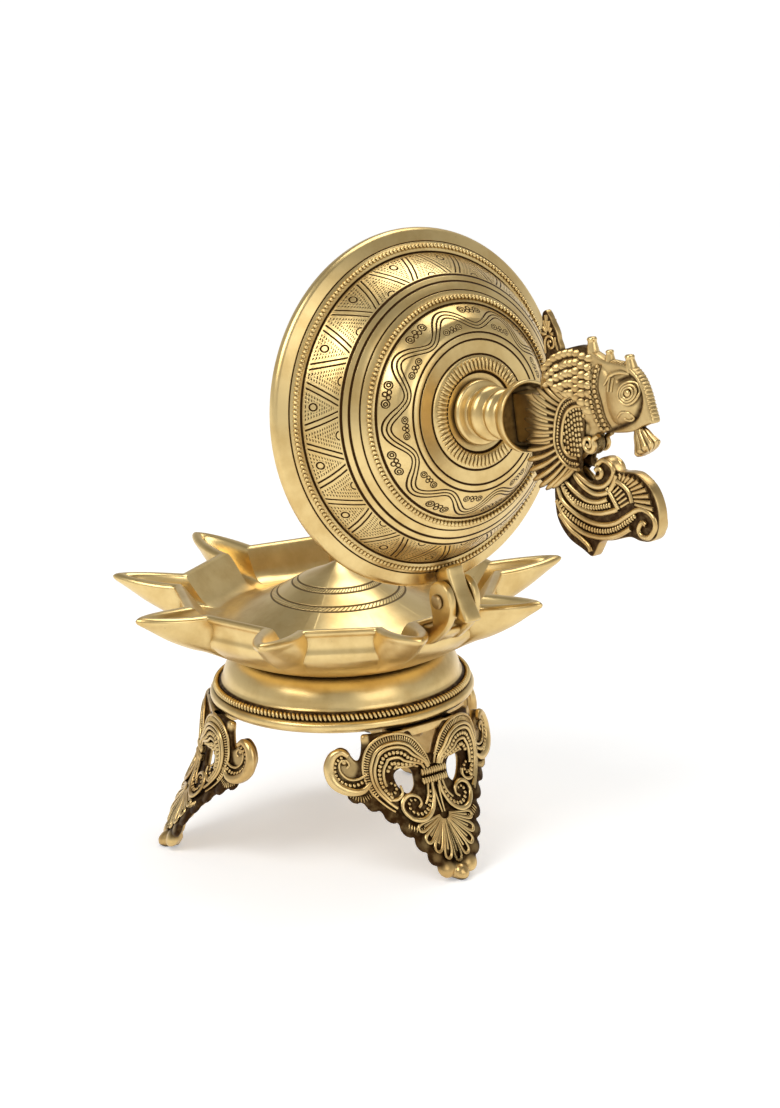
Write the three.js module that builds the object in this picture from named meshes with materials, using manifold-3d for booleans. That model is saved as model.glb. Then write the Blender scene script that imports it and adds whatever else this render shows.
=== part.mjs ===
// Peacock oil lamp in cast brass, shown with its lid thrown open.
// A nine-spouted oil bowl stands on a turned pedestal with three openwork legs.
// A domed lid is hinged to the bowl and carries a turned knob with a peacock on it.
// Millimetres, +Z up. The floor is z = 0 and the origin is under the middle of the open lamp's box.

import * as THREE from 'three';
import { mergeVertices } from 'three/addons/utils/BufferGeometryUtils.js';
import { TessellateModifier } from 'three/addons/modifiers/TessellateModifier.js';
import Module from 'manifold-3d';

const wasm = await Module();
wasm.setup();

// Driving dimensions of the whole lamp
const GAP = 0.3;                 // fit between touching pieces
const LAMP_AXIS_X = -53.5;       // the bowl's axis, seen from the middle of the open lamp's box
const LEG_COUNT = 3;
const LIP_BOTTOM_Z = 58.2;       // underside of the pedestal's rolled lip
const LIP_RADIUS = 51.9;
const FOOT_SEAT_Z = 77;          // top web of the pedestal, where the bowl's foot stands
const FOOT_RADIUS = 39;
const BOWL_RIM_Z = 103.3;
const BOWL_FLAT_RADIUS = 61;     // from the axis to the middle of a flat wall panel
const SPOUT_COUNT = 9;
const SPOUT_PHASE = 3.6;         // degrees that the spouts are turned from an even spread about the hinge
const SPOUT_TIP_RADIUS = 89;
const SPOUT_TIP_Z = 105.4;
const LID_RADIUS = 67.4;
const LID_TOP = 39;              // height of the lid's crown over its rim
const LID_CLOSED_Z = 104.04;
const HINGE_X = 72.8;
const HINGE_Z = 113.5;
const LID_OPEN_ANGLE = 82;
const STUD_RADIUS = 4;
const BIRD_HALF_DEPTH = 4.3;     // the flat seats on the bird's flanks where the wings are brazed

const rad = THREE.MathUtils.degToRad;
const lerp = THREE.MathUtils.lerp;
const smoothstep = THREE.MathUtils.smoothstep;
const v3 = (x, y, z) => new THREE.Vector3(x, y, z);

// Finishes
const polishedBrass = new THREE.MeshStandardMaterial({ color: 0xd1ab5f, roughness: 0.28, metalness: 1 });
const antiqueBrass = new THREE.MeshStandardMaterial({ color: 0xa67f3e, roughness: 0.42, metalness: 1 });
const darkBrass = new THREE.MeshStandardMaterial({ color: 0x8a6a38, roughness: 0.5, metalness: 1 });

// Geometry helpers

// Shares vertices and drops the slivers that a revolve leaves on its axis.
function weld(geometry) {
  const bare = geometry.clone();
  for (const attribute of Object.keys(bare.attributes)) {
    if (attribute !== 'position') bare.deleteAttribute(attribute);
  }
  const merged = mergeVertices(bare, 1e-4);
  const index = merged.index.array;
  const kept = [];
  for (let i = 0; i < index.length; i += 3) {
    const [a, b, c] = [index[i], index[i + 1], index[i + 2]];
    if (a !== b && b !== c && c !== a) kept.push(a, b, c);
  }
  merged.setIndex(kept);
  return merged;
}

function signedVolume(geometry) {
  const p = geometry.attributes.position;
  const index = geometry.index.array;
  const [a, b, c] = [v3(), v3(), v3()];
  let volume = 0;
  for (let i = 0; i < index.length; i += 3) {
    a.fromBufferAttribute(p, index[i]);
    b.fromBufferAttribute(p, index[i + 1]);
    c.fromBufferAttribute(p, index[i + 2]);
    volume += a.dot(b.cross(c)) / 6;
  }
  return volume;
}

// Turns a closed geometry into a solid for joining and cutting, with its faces pointing out.
function solid(geometry) {
  const welded = weld(geometry);
  const triVerts = new Uint32Array(welded.index.array);
  if (signedVolume(welded) < 0) {
    for (let i = 0; i < triVerts.length; i += 3) {
      [triVerts[i], triVerts[i + 1]] = [triVerts[i + 1], triVerts[i]];
    }
  }
  const vertProperties = new Float32Array(welded.attributes.position.array);
  return new wasm.Manifold(new wasm.Mesh({ numProp: 3, vertProperties, triVerts }));
}

function geometryOf(shape) {
  const mesh = shape.getMesh();
  const geometry = new THREE.BufferGeometry();
  geometry.setAttribute('position', new THREE.BufferAttribute(new Float32Array(mesh.vertProperties), 3));
  geometry.setIndex([...mesh.triVerts]);
  geometry.computeVertexNormals();
  return geometry;
}

const joined = (shapes) => shapes.reduce((sum, shape) => sum.add(shape));

function piece(name, shape, material) {
  const mesh = new THREE.Mesh(geometryOf(shape), material);
  mesh.name = name;
  return mesh;
}

// A skin over rings of equally many points, closed by a flat cap at each end.
function loft(rings) {
  const count = rings[0].length;
  const positions = rings.flat().flatMap((p) => [p.x, p.y, p.z]);
  const index = [];
  for (let i = 0; i + 1 < rings.length; i += 1) {
    for (let j = 0; j < count; j += 1) {
      const [a, b] = [i * count + j, i * count + (j + 1) % count];
      index.push(a, b, b + count, a, b + count, a + count);
    }
  }
  const last = (rings.length - 1) * count;
  for (let j = 1; j + 1 < count; j += 1) {
    index.push(0, j + 1, j, last, last + j, last + j + 1);
  }
  const geometry = new THREE.BufferGeometry();
  geometry.setAttribute('position', new THREE.Float32BufferAttribute(positions, 3));
  geometry.setIndex(index);
  return solid(geometry);
}

// A solid of revolution about +Z from [radius, height] points. Its first corner lies at the start angle.
function turned(profile, segments, reshape, start = 0) {
  const points = profile.map(([r, z]) => new THREE.Vector2(r, z));
  const geometry = new THREE.LatheGeometry(points, segments, Math.PI / 2 + start);
  geometry.rotateX(Math.PI / 2);
  if (reshape) {
    const p = geometry.attributes.position;
    const at = v3();
    for (let i = 0; i < p.count; i += 1) {
      reshape(at.fromBufferAttribute(p, i));
      p.setXYZ(i, at.x, at.y, at.z);
    }
  }
  return solid(geometry);
}

// A washer, pin or plain bore about +Z.
const disc = (radius, z0, z1, segments = 16) => turned(
  [[0, z0], [radius, z0], [radius, z1], [0, z1]], segments);

// A block between two corners.
function block(low, high) {
  const size = high.clone().sub(low);
  const geometry = new THREE.BoxGeometry(size.x, size.y, size.z);
  geometry.translate(low.x + size.x / 2, low.y + size.y / 2, low.z + size.z / 2);
  return solid(geometry);
}

// A plate cut from an outline in its own x and y, from depth 0 to its thickness.
function plate(outline, thickness, holes = [], bevel = 0) {
  const shape = new THREE.Shape(outline);
  shape.holes = holes.map((hole) => new THREE.Path(hole));
  return new THREE.ExtrudeGeometry(shape, {
    depth: thickness - 2 * bevel, steps: 1, bevelEnabled: bevel > 0,
    bevelThickness: bevel, bevelSize: bevel, bevelOffset: -bevel, bevelSegments: 1,
  }).translate(0, 0, bevel);
}

const flat = (points) => points.map(([x, y]) => new THREE.Vector2(x, y));
const smooth = (points, count, closed = false) => new THREE.CatmullRomCurve3(
  points.map(([x, y]) => v3(x, y, 0)), closed, 'centripetal').getSpacedPoints(count);
const circle = (x, y, radius, count) => Array.from({ length: count }, (_, i) => new THREE.Vector2(
  x + radius * Math.cos(2 * Math.PI * i / count), y + radius * Math.sin(2 * Math.PI * i / count)));

// Pedestal: a turned bell with a rolled lip, a rope bead and a top web that the bowl's foot stands on
const LEG_SCREW_RADIUS = 2;
const LEG_SCREW_AXIS = 46.4;     // distance of each leg's screw from the lamp's axis
const LEG_SCREW_TOP = 63;
const WEB_BOTTOM_Z = 73.6;

function pedestal() {
  const bell = turned([
    [41, LIP_BOTTOM_Z], [50.6, LIP_BOTTOM_Z], [LIP_RADIUS, 60.2], [50.8, 62.6], [49.2, 63.1],
    [48.8, 65.2], [46.4, 66.4], [45.6, 70.2], [43.2, 74.4], [39.4, FOOT_SEAT_Z],
    [STUD_RADIUS + GAP, FOOT_SEAT_Z], [STUD_RADIUS + GAP, WEB_BOTTOM_Z], [36, WEB_BOTTOM_Z], [42, 69.4],
    [41, LIP_BOTTOM_Z],
  ], 36);
  const bores = [];
  for (let i = 0; i < LEG_COUNT; i += 1) {
    const bore = disc(LEG_SCREW_RADIUS + GAP, LIP_BOTTOM_Z - 1, LEG_SCREW_TOP + 0.6, 12);
    bores.push(bore.translate(LEG_SCREW_AXIS, 0, 0).rotate(0, 0, i * 360 / LEG_COUNT));
  }
  return bell.subtract(joined(bores));
}

// Legs: openwork shields that wrap round the pedestal and lean out to a pointed toe.
// They are drawn unrolled: x runs round the shield and y is the height.
const LEG_THICKNESS = 4.2;
const LEG_LEAN = [[0, 74.4], [11.4, 70.2], [20, 65.4], [29, 60.6], [36, 57.8], [44, 56.3], [58, 54.6]];
const leanLine = new THREE.SplineCurve(flat(LEG_LEAN));

// Radius of a shield's outer face at a height, on a smooth line through the [height, radius] points.
function legRadius(z) {
  const spans = LEG_LEAN.length - 1;
  const above = LEG_LEAN.findIndex(([height]) => height > z);
  const i = above < 0 ? spans - 1 : Math.max(0, above - 1);
  const [low, high] = [LEG_LEAN[i][0], LEG_LEAN[i + 1][0]];
  const station = (i + (z - low) / (high - low)) / spans;
  return leanLine.getPoint(THREE.MathUtils.clamp(station, 0, 1)).y;
}

function wrapLeg(at) {
  const z = at.y;
  const outer = legRadius(z);
  const angle = at.x / outer;
  const thickening = 1 + 0.7 * (1 - smoothstep(z, 0, 16));
  const r = outer - LEG_THICKNESS * thickening + at.z * thickening;
  at.set(r * Math.cos(angle), r * Math.sin(angle), z);
}

function wrapped(geometry, edge) {
  const fine = new TessellateModifier(edge, 7).modify(geometry);
  const p = fine.attributes.position;
  const at = v3();
  for (let i = 0; i < p.count; i += 1) {
    wrapLeg(at.fromBufferAttribute(p, i));
    p.setXYZ(i, at.x, at.y, at.z);
  }
  return solid(fine);
}

// A raised band that follows a line on the shield, let deep into it.
const BAND_ROOT = 2.6;

function legBand(points, count, width, proud) {
  const path = smooth(points, count);
  const rings = path.map((p, i) => {
    const before = path[Math.max(0, i - 1)];
    const after = path[Math.min(count, i + 1)];
    const side = v3(before.y - after.y, after.x - before.x, 0).setLength(width / 2);
    const corners = [[-1, 0], [-0.5, 1], [0.5, 1], [1, 0]];
    return corners.map(([across, height]) => {
      const depth = LEG_THICKNESS - BAND_ROOT + height * (BAND_ROOT + proud);
      const at = v3(p.x + side.x * across, p.y + side.y * across, depth);
      wrapLeg(at);
      return at;
    });
  });
  return loft(rings);
}

const LEG_HALF_OUTLINE = [
  [4.2, 0], [7, 3.6], [8.6, 8.4], [11.4, 9.6], [12, 14.2], [15.2, 16], [16, 20.6], [19.4, 22], [20.4, 26.6],
  [24.6, 27.6], [26.4, 31.4], [31.6, 32.4], [33.6, 36.4], [38.6, 38.4], [42, 41.4], [43.2, 46], [41, 51],
  [37.2, 53.4], [33.2, 51.4], [34.2, 48.6], [31.6, 47.4], [28.6, 52], [28.4, LIP_BOTTOM_Z - GAP],
  [9.4, LIP_BOTTOM_Z - GAP], [5.4, 53.4], [2, 47.4],
];

function leg() {
  const mirrored = LEG_HALF_OUTLINE.map(([x, y]) => [-x, y]).reverse();
  const outline = flat([...LEG_HALF_OUTLINE, [0, 44.6], ...mirrored]);
  const holes = [-1, 1].map((side) => circle(side * 12.6, 38, 4.9, 8));
  const shield = wrapped(plate(outline, LEG_THICKNESS, holes), 26);
  const bands = [-1, 1].flatMap((side) => [
    legBand([[2.5, 38], [4.5, 47], [11, 54], [20, 53.6], [25, 47], [24.4, 38], [19, 32.4]]
      .map(([x, y]) => [side * x, y]), 6, 4.4, 1.5),
    legBand([[27, 41], [34, 40.6], [39.6, 43], [39.6, 48.6], [36, 50]]
      .map(([x, y]) => [side * x, y]), 4, 3.4, 1.2),
    legBand([[2, 35], [3.6, 27], [10, 23.6], [15, 27], [13, 31]]
      .map(([x, y]) => [side * x, y]), 4, 3, 1.2),
  ]);
  const tie = legBand([[-6.2, 39], [0, 39], [6.2, 39]], 2, 5.4, 2.4);
  const leaf = legBand([[0, 30], [0, 20], [0, 9]], 3, 3.4, 1.4);
  const tab = block(v3(42.6, -15, 54.6), v3(52.6, 15, LIP_BOTTOM_Z - GAP));
  const hole = disc(LEG_SCREW_RADIUS + GAP, 53, 60, 12).translate(LEG_SCREW_AXIS, 0, 0);
  const whole = joined([shield, ...bands, tie, leaf, tab]).subtract(hole);
  return whole.subtract(block(v3(40, -40, -12), v3(90, 40, 0)));
}

function legScrew() {
  const head = 3.6;
  return turned([
    [0, 51.8], [2.6, 52.2], [head, 54.3], [LEG_SCREW_RADIUS, 54.3],
    [LEG_SCREW_RADIUS, LEG_SCREW_TOP], [0, LEG_SCREW_TOP],
  ], 12).translate(LEG_SCREW_AXIS, 0, 0);
}

// Oil bowl: a turned dish whose wall is flattened into nine panels, with nine pointed spouts let into the
// corners, a low cone in the middle of its floor and two ears for the lid's hinge
const EAR_INNER_Y = 4.2;
const EAR_THICKNESS = 3.2;
const EAR_RADIUS = 7.2;
const PIN_RADIUS = 1.9;

const WALL_SIDES = 3 * SPOUT_COUNT;  // a flat panel and the two slants that lead into the spouts

// Moves a turned point outwards towards the corners of a nine-sided wall.
function flattenWall(at) {
  const r = Math.hypot(at.x, at.y);
  const sector = 2 * Math.PI / SPOUT_COUNT;
  const turn = Math.atan2(at.y, at.x) - rad(SPOUT_PHASE);
  const fromMiddle = ((turn % sector) + sector) % sector - sector / 2;
  const amount = smoothstep(r, 39, 48) * smoothstep(at.z, 83, 92);
  const scale = 1 + amount * (1 / Math.cos(sector / 2 - Math.abs(fromMiddle)) - 1);
  at.x *= scale;
  at.y *= scale;
}

// Each station of a spout is [distance from the axis, half width, keel height, edge height].
function boat(stations, section) {
  return loft(stations.map(([x, half, keel, edge]) => section.map(
    ([across, up]) => v3(x, half * across, lerp(keel, edge, up)))));
}

const HULL = [[-1, 1], [-0.84, 0.32], [0, 0], [0.84, 0.32], [1, 1]];
const CHANNEL = [[-1.08, 1.5], [-0.6, 0.1], [0.6, 0.1], [1.08, 1.5]];

// The hull starts inside the wall, and its channel cuts the wall through.
const spoutHull = () => boat([
  [56, 7, 85, 92.5], [61.5, 8.5, 87, BOWL_RIM_Z], [73, 6.7, 92.8, 104], [82, 4.2, 98.6, 104.8],
  [87, 2.1, 103, 105.2], [SPOUT_TIP_RADIUS, 0.8, 104.6, SPOUT_TIP_Z],
], HULL);

const spoutChannel = () => boat([
  [44, 2.6, 91.6, 103.5], [50, 3.2, 90.4, 103.5], [63, 5.3, 92, 103.8],
  [74, 3.7, 96.8, 104.6], [85, 0.5, 104.2, 105.6],
], CHANNEL);

const aroundBowl = (shape, i) => shape.rotate(0, 0, 20 + SPOUT_PHASE + i * 360 / SPOUT_COUNT);

// An ear stands on the wall outside the lid's edge: a round eye on a leg that runs down to the panel.
function hingeEar(side) {
  const start = rad(-35);
  const end = rad(205);
  const steps = 14;
  const eye = Array.from({ length: steps + 1 }, (_, i) => {
    const angle = lerp(start, end, i / steps);
    return [HINGE_X + EAR_RADIUS * Math.cos(angle), HINGE_Z + EAR_RADIUS * Math.sin(angle)];
  });
  const outline = flat([...eye, [68, 107.4], [68.4, 102.8], [60, 102.4], [60, 93.4], [66, 94], [74, 99]]);
  const cheek = solid(plate(outline, EAR_THICKNESS)).rotate(90, 0, 0);
  return cheek.translate(0, side > 0 ? EAR_INNER_Y + EAR_THICKNESS : -EAR_INNER_Y, 0);
}

function oilBowl() {
  const dish = turned([
    [0, 94], [STUD_RADIUS + GAP, 94], [STUD_RADIUS + GAP, 84], [8, 84], [8.8, 103.6],
    [34, 90], [36, FOOT_SEAT_Z + GAP], [FOOT_RADIUS, FOOT_SEAT_Z + GAP], [42, 78.2],
    [50.4, 81.8], [57, 86.4], [61.3, 93], [BOWL_FLAT_RADIUS, 100.2],
    [62.2, 101.8], [61.4, BOWL_RIM_Z], [59.2, 102.7], [53, 94.4], [48.4, 90.8], [44, 91.4],
    [36, 94.8], [26, 99.2], [3, 110.7], [0, 112],
  ], WALL_SIDES, flattenWall, rad(SPOUT_PHASE));
  const hulls = [];
  const channels = [];
  for (let i = 0; i < SPOUT_COUNT; i += 1) {
    hulls.push(aroundBowl(spoutHull(), i));
    channels.push(aroundBowl(spoutChannel(), i));
  }
  const web = block(v3(60, -EAR_INNER_Y - 1, 94), v3(71.4, EAR_INNER_Y + 1, 101.6));
  const pinBore = disc(PIN_RADIUS + GAP, -20, 20, 16).rotate(90, 0, 0).translate(HINGE_X, 0, HINGE_Z);
  return joined([dish, ...hulls, hingeEar(1), hingeEar(-1), web]).subtract(joined([...channels, pinBore]));
}

// Stud, washer and nut that draw the bowl down on the pedestal
const NUT_ACROSS_FLATS = 13;
const NUT_HEIGHT = 5.1;
const WASHER_RADIUS = 9;
const WASHER_THICKNESS = 1.3;
const WASHER_TOP_Z = WEB_BOTTOM_Z - GAP;
const NUT_TOP_Z = WASHER_TOP_Z - WASHER_THICKNESS - GAP;

const bowlStud = () => disc(STUD_RADIUS, 64.5, 93.6);

const washer = (bore, radius, top, thickness) => turned([
  [bore, top - thickness], [radius, top - thickness], [radius, top], [bore, top], [bore, top - thickness],
], 16);

function hexNut(bore, acrossFlats, top, height) {
  const corners = circle(0, 0, acrossFlats / 2 / Math.cos(rad(30)), 6);
  return solid(plate(corners, height, [circle(0, 0, bore, 16)])).translate(0, 0, top - height);
}

// Lid, drawn closed with its rim in z = 0 and its axis on z
const KNOB_STUD_RADIUS = 3;
const KNOB_NUT_ACROSS_FLATS = 10;
const KNOB_NUT_HEIGHT = 3.5;
const KNOB_WASHER_RADIUS = 8;
const KNOB_WASHER_THICKNESS = 1.2;
const LID_CROWN_UNDERSIDE = 36.9;
const KNOB_WASHER_TOP = LID_CROWN_UNDERSIDE - GAP;
const KNOB_NUT_TOP = KNOB_WASHER_TOP - KNOB_WASHER_THICKNESS - GAP;

const lid = () => turned([
  [KNOB_STUD_RADIUS + GAP, LID_TOP], [14.8, LID_TOP], [16, 40.3], [19.6, 39.9], [20.8, 38.5], [28, 38],
  [34.4, 35.2], [39.6, 28.7], [41.6, 28.3], [43.8, 25.8], [50, 21.5], [54.8, 14.8], [58, 7.2], [60.4, 7.5],
  [62, 5.6], [LID_RADIUS, 3.4], [LID_RADIUS, 0], [65.2, 0], [64.4, 2.4], [57, 5.1],
  [52.6, 14.2], [48, 19.9], [37.4, 28], [32.6, 33.6], [27, 35.8],
  [KNOB_STUD_RADIUS + GAP, LID_CROWN_UNDERSIDE], [KNOB_STUD_RADIUS + GAP, LID_TOP],
], 36);

// Tongue: a tapered strap brazed on the lid's edge, with a barrel round the pin and a tail that meets
// the bracket's web when the lid is thrown open. Its outline lies in the hinge's own x and z, lid closed.
const TONGUE_HALF_WIDTH = 3.7;

function hingeTongue() {
  const barrel = 4.6;
  const turn = rad(-LID_OPEN_ANGLE);
  const [cos, sin] = [Math.cos(turn), Math.sin(turn)];
  const open = (x, z) => [x * cos + z * sin, z * cos - x * sin];
  const steps = 6;
  const under = Array.from({ length: steps + 1 }, (_, i) => {
    const angle = lerp(rad(165), rad(290), i / steps);
    return open(barrel * Math.cos(angle), barrel * Math.sin(angle));
  });
  const outline = flat([
    open(-6.4, 9.4), ...under, open(6, -6.2), open(10.6, -7), open(11.9, -5.2), open(4.4, 5.2),
    open(0.4, 13.2),
  ]);
  const upright = solid(plate(outline, 2 * TONGUE_HALF_WIDTH)).rotate(90, 0, 0);
  const strap = upright.translate(0, TONGUE_HALF_WIDTH, 0);
  const bore = disc(PIN_RADIUS + GAP, -20, 20, 16).rotate(90, 0, 0);
  const cover = lid().translate(-HINGE_X, 0, LID_CLOSED_Z - HINGE_Z);
  return strap.subtract(bore).subtract(cover);
}

function hingePin() {
  const end = EAR_INNER_Y + EAR_THICKNESS + GAP;
  const head = 2.9;
  return turned([
    [0, -end - 1.6], [head - 0.8, -end - 1.6], [head, -end - 0.6], [head, -end], [PIN_RADIUS, -end],
    [PIN_RADIUS, end], [head, end], [head, end + 0.6], [head - 0.8, end + 1.6], [0, end + 1.6],
  ], 12).rotate(90, 0, 0);
}

// Knob: a turned stem of rings with a stud through the lid, and a cup that takes the bird's tang
const STEM_TOP = 62;
const CUP_RADIUS = 13.4;

const knobStem = () => turned([
  [0, 30.4], [KNOB_STUD_RADIUS, 30.4], [KNOB_STUD_RADIUS, LID_TOP + GAP], [11.8, LID_TOP + GAP],
  [12.3, 40.4], [11.4, 41.6], [8.4, 42.6], [9.8, 44.6], [10.4, 46.8], [9.6, 49.2], [7.6, 50.8], [9, 52.4],
  [9.5, 54], [9, 55.6], [7, 57.2], [8.4, 59.4], [7.4, STEM_TOP], [0, STEM_TOP],
], 16);

const knobCup = () => turned([
  [0, STEM_TOP + GAP], [9.4, STEM_TOP + GAP], [12.2, 63.6], [CUP_RADIUS, 66.6], [CUP_RADIUS, 69],
  [11.9, 69], [10.6, 64.6], [0, 64.6],
], 24);

// Peacock: its side view is drawn in the lid's frame, n along its axis and u towards the lamp's front.
// It is a flat casting, domed on both sides, with two wings, a tail, a leaf plume and a flower bud
// brazed to it.
const onBird = (n, u, y = 0) => v3(-u, y, n);

function ellipsoid(n, u, halfN, halfU, halfY) {
  const geometry = new THREE.SphereGeometry(1, 12, 7);
  geometry.scale(halfU, halfY, halfN);
  const centre = onBird(n, u);
  return solid(geometry.translate(centre.x, centre.y, centre.z));
}

// A tapered bar along a line of the side view, with its half width and half depth at each end.
// With four sides it is a ridge whose flat faces lie across its corners.
function bar(points, count, widths, depths, y = 0, sides = 6) {
  const path = smooth(points, count);
  return loft(path.map((p, i) => {
    const before = path[Math.max(0, i - 1)];
    const after = path[Math.min(count, i + 1)];
    const across = v3(before.y - after.y, after.x - before.x, 0).normalize();
    const half = lerp(widths[0], widths[1], i / count);
    const deep = lerp(depths[0], depths[1], i / count);
    return Array.from({ length: sides }, (_, j) => {
      const angle = 2 * Math.PI * (j + 0.5) / sides;
      const reach = half * Math.cos(angle);
      return onBird(p.x + across.x * reach, p.y + across.y * reach, y + deep * Math.sin(angle));
    });
  }));
}

// A plate cut from a closed outline of the side view, between two depths.
function birdPlate(points, count, y0, y1, bevel = 0) {
  const outline = smooth(points, count, true).slice(0, count).map((p) => new THREE.Vector2(p.x, p.y));
  const geometry = plate(outline, y1 - y0, [], bevel);
  const p = geometry.attributes.position;
  for (let i = 0; i < p.count; i += 1) {
    const at = onBird(p.getX(i), p.getY(i), y0 + p.getZ(i));
    p.setXYZ(i, at.x, at.y, at.z);
  }
  return solid(geometry);
}

// The body with its neck, head, hooked beak, jaw scroll and three crest knobs, seen from the side.
// A grown copy trims what is brazed to it.
const BODY_OUTLINE = [
  [80, -9], [78, 0], [79.4, 12], [83.4, 20], [89, 24.2], [97, 26.4], [106, 27.4], [114, 25.2], [121, 22.6],
  [127.4, 22], [133.6, 19.8], [137.6, 16], [139.6, 10.6], [140.6, 5], [141.5, 1.2], [138, 0.8],
  [134.6, 0.2], [130, -2], [124, -2.8], [112, -3.2], [109.6, -8], [104.6, -11.6], [97, -13.4], [87, -13],
];
const BODY_EDGE_HALF_DEPTH = 2.1;
const JAW_SCROLL = { n: 105.6, u: -6.2, radius: 4.2, halfDepth: 3.2 };

function birdBody(grow = 0) {
  const crest = [
    [[109.6, 25], [109.8, 30.4]],
    [[118.4, 21], [118.8, 25.2]],
    [[129.6, 19.4], [129.8, 24.4]],
  ];
  const edge = BODY_EDGE_HALF_DEPTH + grow;
  const scrollDepth = JAW_SCROLL.halfDepth + grow;
  const scroll = disc(JAW_SCROLL.radius + grow, -scrollDepth, scrollDepth, 12)
    .rotate(90, 0, 0).translate(...onBird(JAW_SCROLL.n, JAW_SCROLL.u));
  const masses = [
    birdPlate(BODY_OUTLINE, 36, -edge, edge, 0.7),
    ellipsoid(93, 4, 14 + grow, 18.5 + grow, 6 + grow),
    ellipsoid(105, 12, 13 + grow, 14 + grow, 5.4 + grow),
    ellipsoid(125, 9.6, 12 + grow, 10.4 + grow, 5 + grow),
    ellipsoid(97, -5, 11 + grow, 7.4 + grow, 5.4 + grow),
    scroll,
    ...crest.map((line) => bar(line, 2, [2.1 + grow, 1.5 + grow], [2 + grow, 1.5 + grow])),
  ];
  const flankDepth = BIRD_HALF_DEPTH + grow;
  const flanks = block(v3(-60, -flankDepth, 60), v3(60, flankDepth, 160));
  const tang = block(v3(-9.2 - grow, -4 - grow, 65), v3(9.2 + grow, 4 + grow, 84));
  return joined(masses).intersect(flanks).add(tang);
}

// A wing: a shoulder disc inside a beaded arc, and a fan of feathers that spreads down towards the lid.
const WING_INNER_Y = BIRD_HALF_DEPTH + GAP;
const SHOULDER = { n: 101.2, u: -3.6, radius: 12.9 };
const FEATHER_TIPS = [
  [96, 12.4], [87.4, 13.6], [79.6, 9.6], [74, 4], [72, -3], [70.6, -10], [70.4, -16.4], [74.6, -22.6],
  [82.6, -24],
];
const FEATHER_COUNT = 10;

function wing(side) {
  const feathers = [];
  const onArc = (angle, radius) => [
    SHOULDER.n + radius * Math.cos(rad(angle)), SHOULDER.u + radius * Math.sin(rad(angle))];
  smooth(FEATHER_TIPS, FEATHER_COUNT - 1).forEach((tip, i) => {
    const from = onArc(lerp(84, 238, i / (FEATHER_COUNT - 1)), SHOULDER.radius - 2);
    const middle = [(from[0] + tip.x) / 2 + 0.8, (from[1] + tip.y) / 2 + 1.2];
    const line = [from, middle, [tip.x, tip.y]];
    feathers.push(bar(line, 2, [2, 3.9], [1.4, 2], side * (WING_INNER_Y + 0.4), 4));
  });
  const arc = [66, 105, 145, 180, 215, 246].map((angle) => onArc(angle, SHOULDER.radius - 0.6));
  const bead = bar(arc, 7, [1.5, 1.5], [1.5, 1.5], side * (WING_INNER_Y + 0.9), 5);
  const [low, high] = side > 0 ? [WING_INNER_Y, WING_INNER_Y + 1] : [-WING_INNER_Y - 1, -WING_INNER_Y];
  const shoulder = birdPlate([
    [107, 7], [98, 7], [91.4, 2], [89.6, -6], [92, -12.4], [97, -14.6], [103, -12], [105.6, -7], [107, 0],
  ], 14, low, high);
  const whole = joined([shoulder, bead, ...feathers]);
  const outside = side > 0
    ? block(v3(-60, WING_INNER_Y, 60), v3(60, 30, 160))
    : block(v3(-60, -30, 60), v3(60, -WING_INNER_Y, 160));
  return whole.intersect(outside);
}

// The tail: an S-shaped plate with an upper curl, flowing ribs, an eye fan and a lower volute.
const TAIL_OUTLINE = [
  [88, -9], [82.6, -20], [80.6, -28], [80.2, -33], [81.8, -38.6], [87.2, -44], [94.4, -47.2], [98.2, -49.6],
  [101.6, -46.4], [110.4, -43], [122, -40.8], [132, -41.4], [137.8, -36.6], [138.9, -30.6], [137.8, -24.6],
  [133.4, -19.2], [125, -16.6], [118.2, -16.2], [114.8, -13.4], [111.2, -12.6], [107.4, -14.4],
  [105.4, -18.2], [101.4, -21.6], [97, -20], [96, -9],
];
const TAIL_RIBS = [
  [[94, -16], [99, -22.6], [106, -24.4], [112.6, -22.4], [115.2, -18], [111.8, -15]],
  [[88.6, -17], [91, -24], [97.6, -28.4], [106, -29.6], [114, -28]],
  [[84.6, -22], [87.4, -30.6], [94, -34.8], [104, -37], [115, -35.4], [124, -31.6], [131, -31], [134.6, -35]],
  [[82.6, -31], [88, -38], [94.6, -42], [98.6, -46.4]],
];
const TAIL_HALF_DEPTH = 2.1;
const TAIL_RELIEF = 1;           // how far its ribs stand proud
const EYE = { n: 114, u: -29, inner: 11, outer: 22.4, squash: 0.52, ribs: 6, first: 58, last: 4 };

function tail() {
  const body = birdPlate(TAIL_OUTLINE, 34, -TAIL_HALF_DEPTH, TAIL_HALF_DEPTH, 0.6);
  const crest = TAIL_HALF_DEPTH + TAIL_RELIEF;
  const depths = [crest / Math.sin(Math.PI / 4), crest / Math.sin(Math.PI / 4)];
  const ribs = TAIL_RIBS.map((line) => bar(line, line.length, [1.9, 1.5], depths, 0, 4));
  const eye = [];
  for (let i = 0; i < EYE.ribs; i += 1) {
    const angle = rad(lerp(EYE.first, EYE.last, i / (EYE.ribs - 1)));
    const line = [EYE.inner, EYE.outer].map((reach) => [
      EYE.n + reach * Math.cos(angle), EYE.u + reach * EYE.squash * Math.sin(angle)]);
    eye.push(bar(line, 1, [0.9, 1.5], depths, 0, 4));
  }
  const room = [birdBody(GAP), wingClearance(1), wingClearance(-1)];
  return joined([body, ...ribs, ...eye]).subtract(joined(room));
}

// Room beside the tail's root for the wings' lower feathers.
const wingClearance = (side) => side > 0
  ? block(v3(-60, WING_INNER_Y - GAP, 60), v3(60, 30, 160))
  : block(v3(-60, -30, 60), v3(60, -WING_INNER_Y + GAP, 160));

const PLUME_HALF_DEPTH = 1.3;

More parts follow.
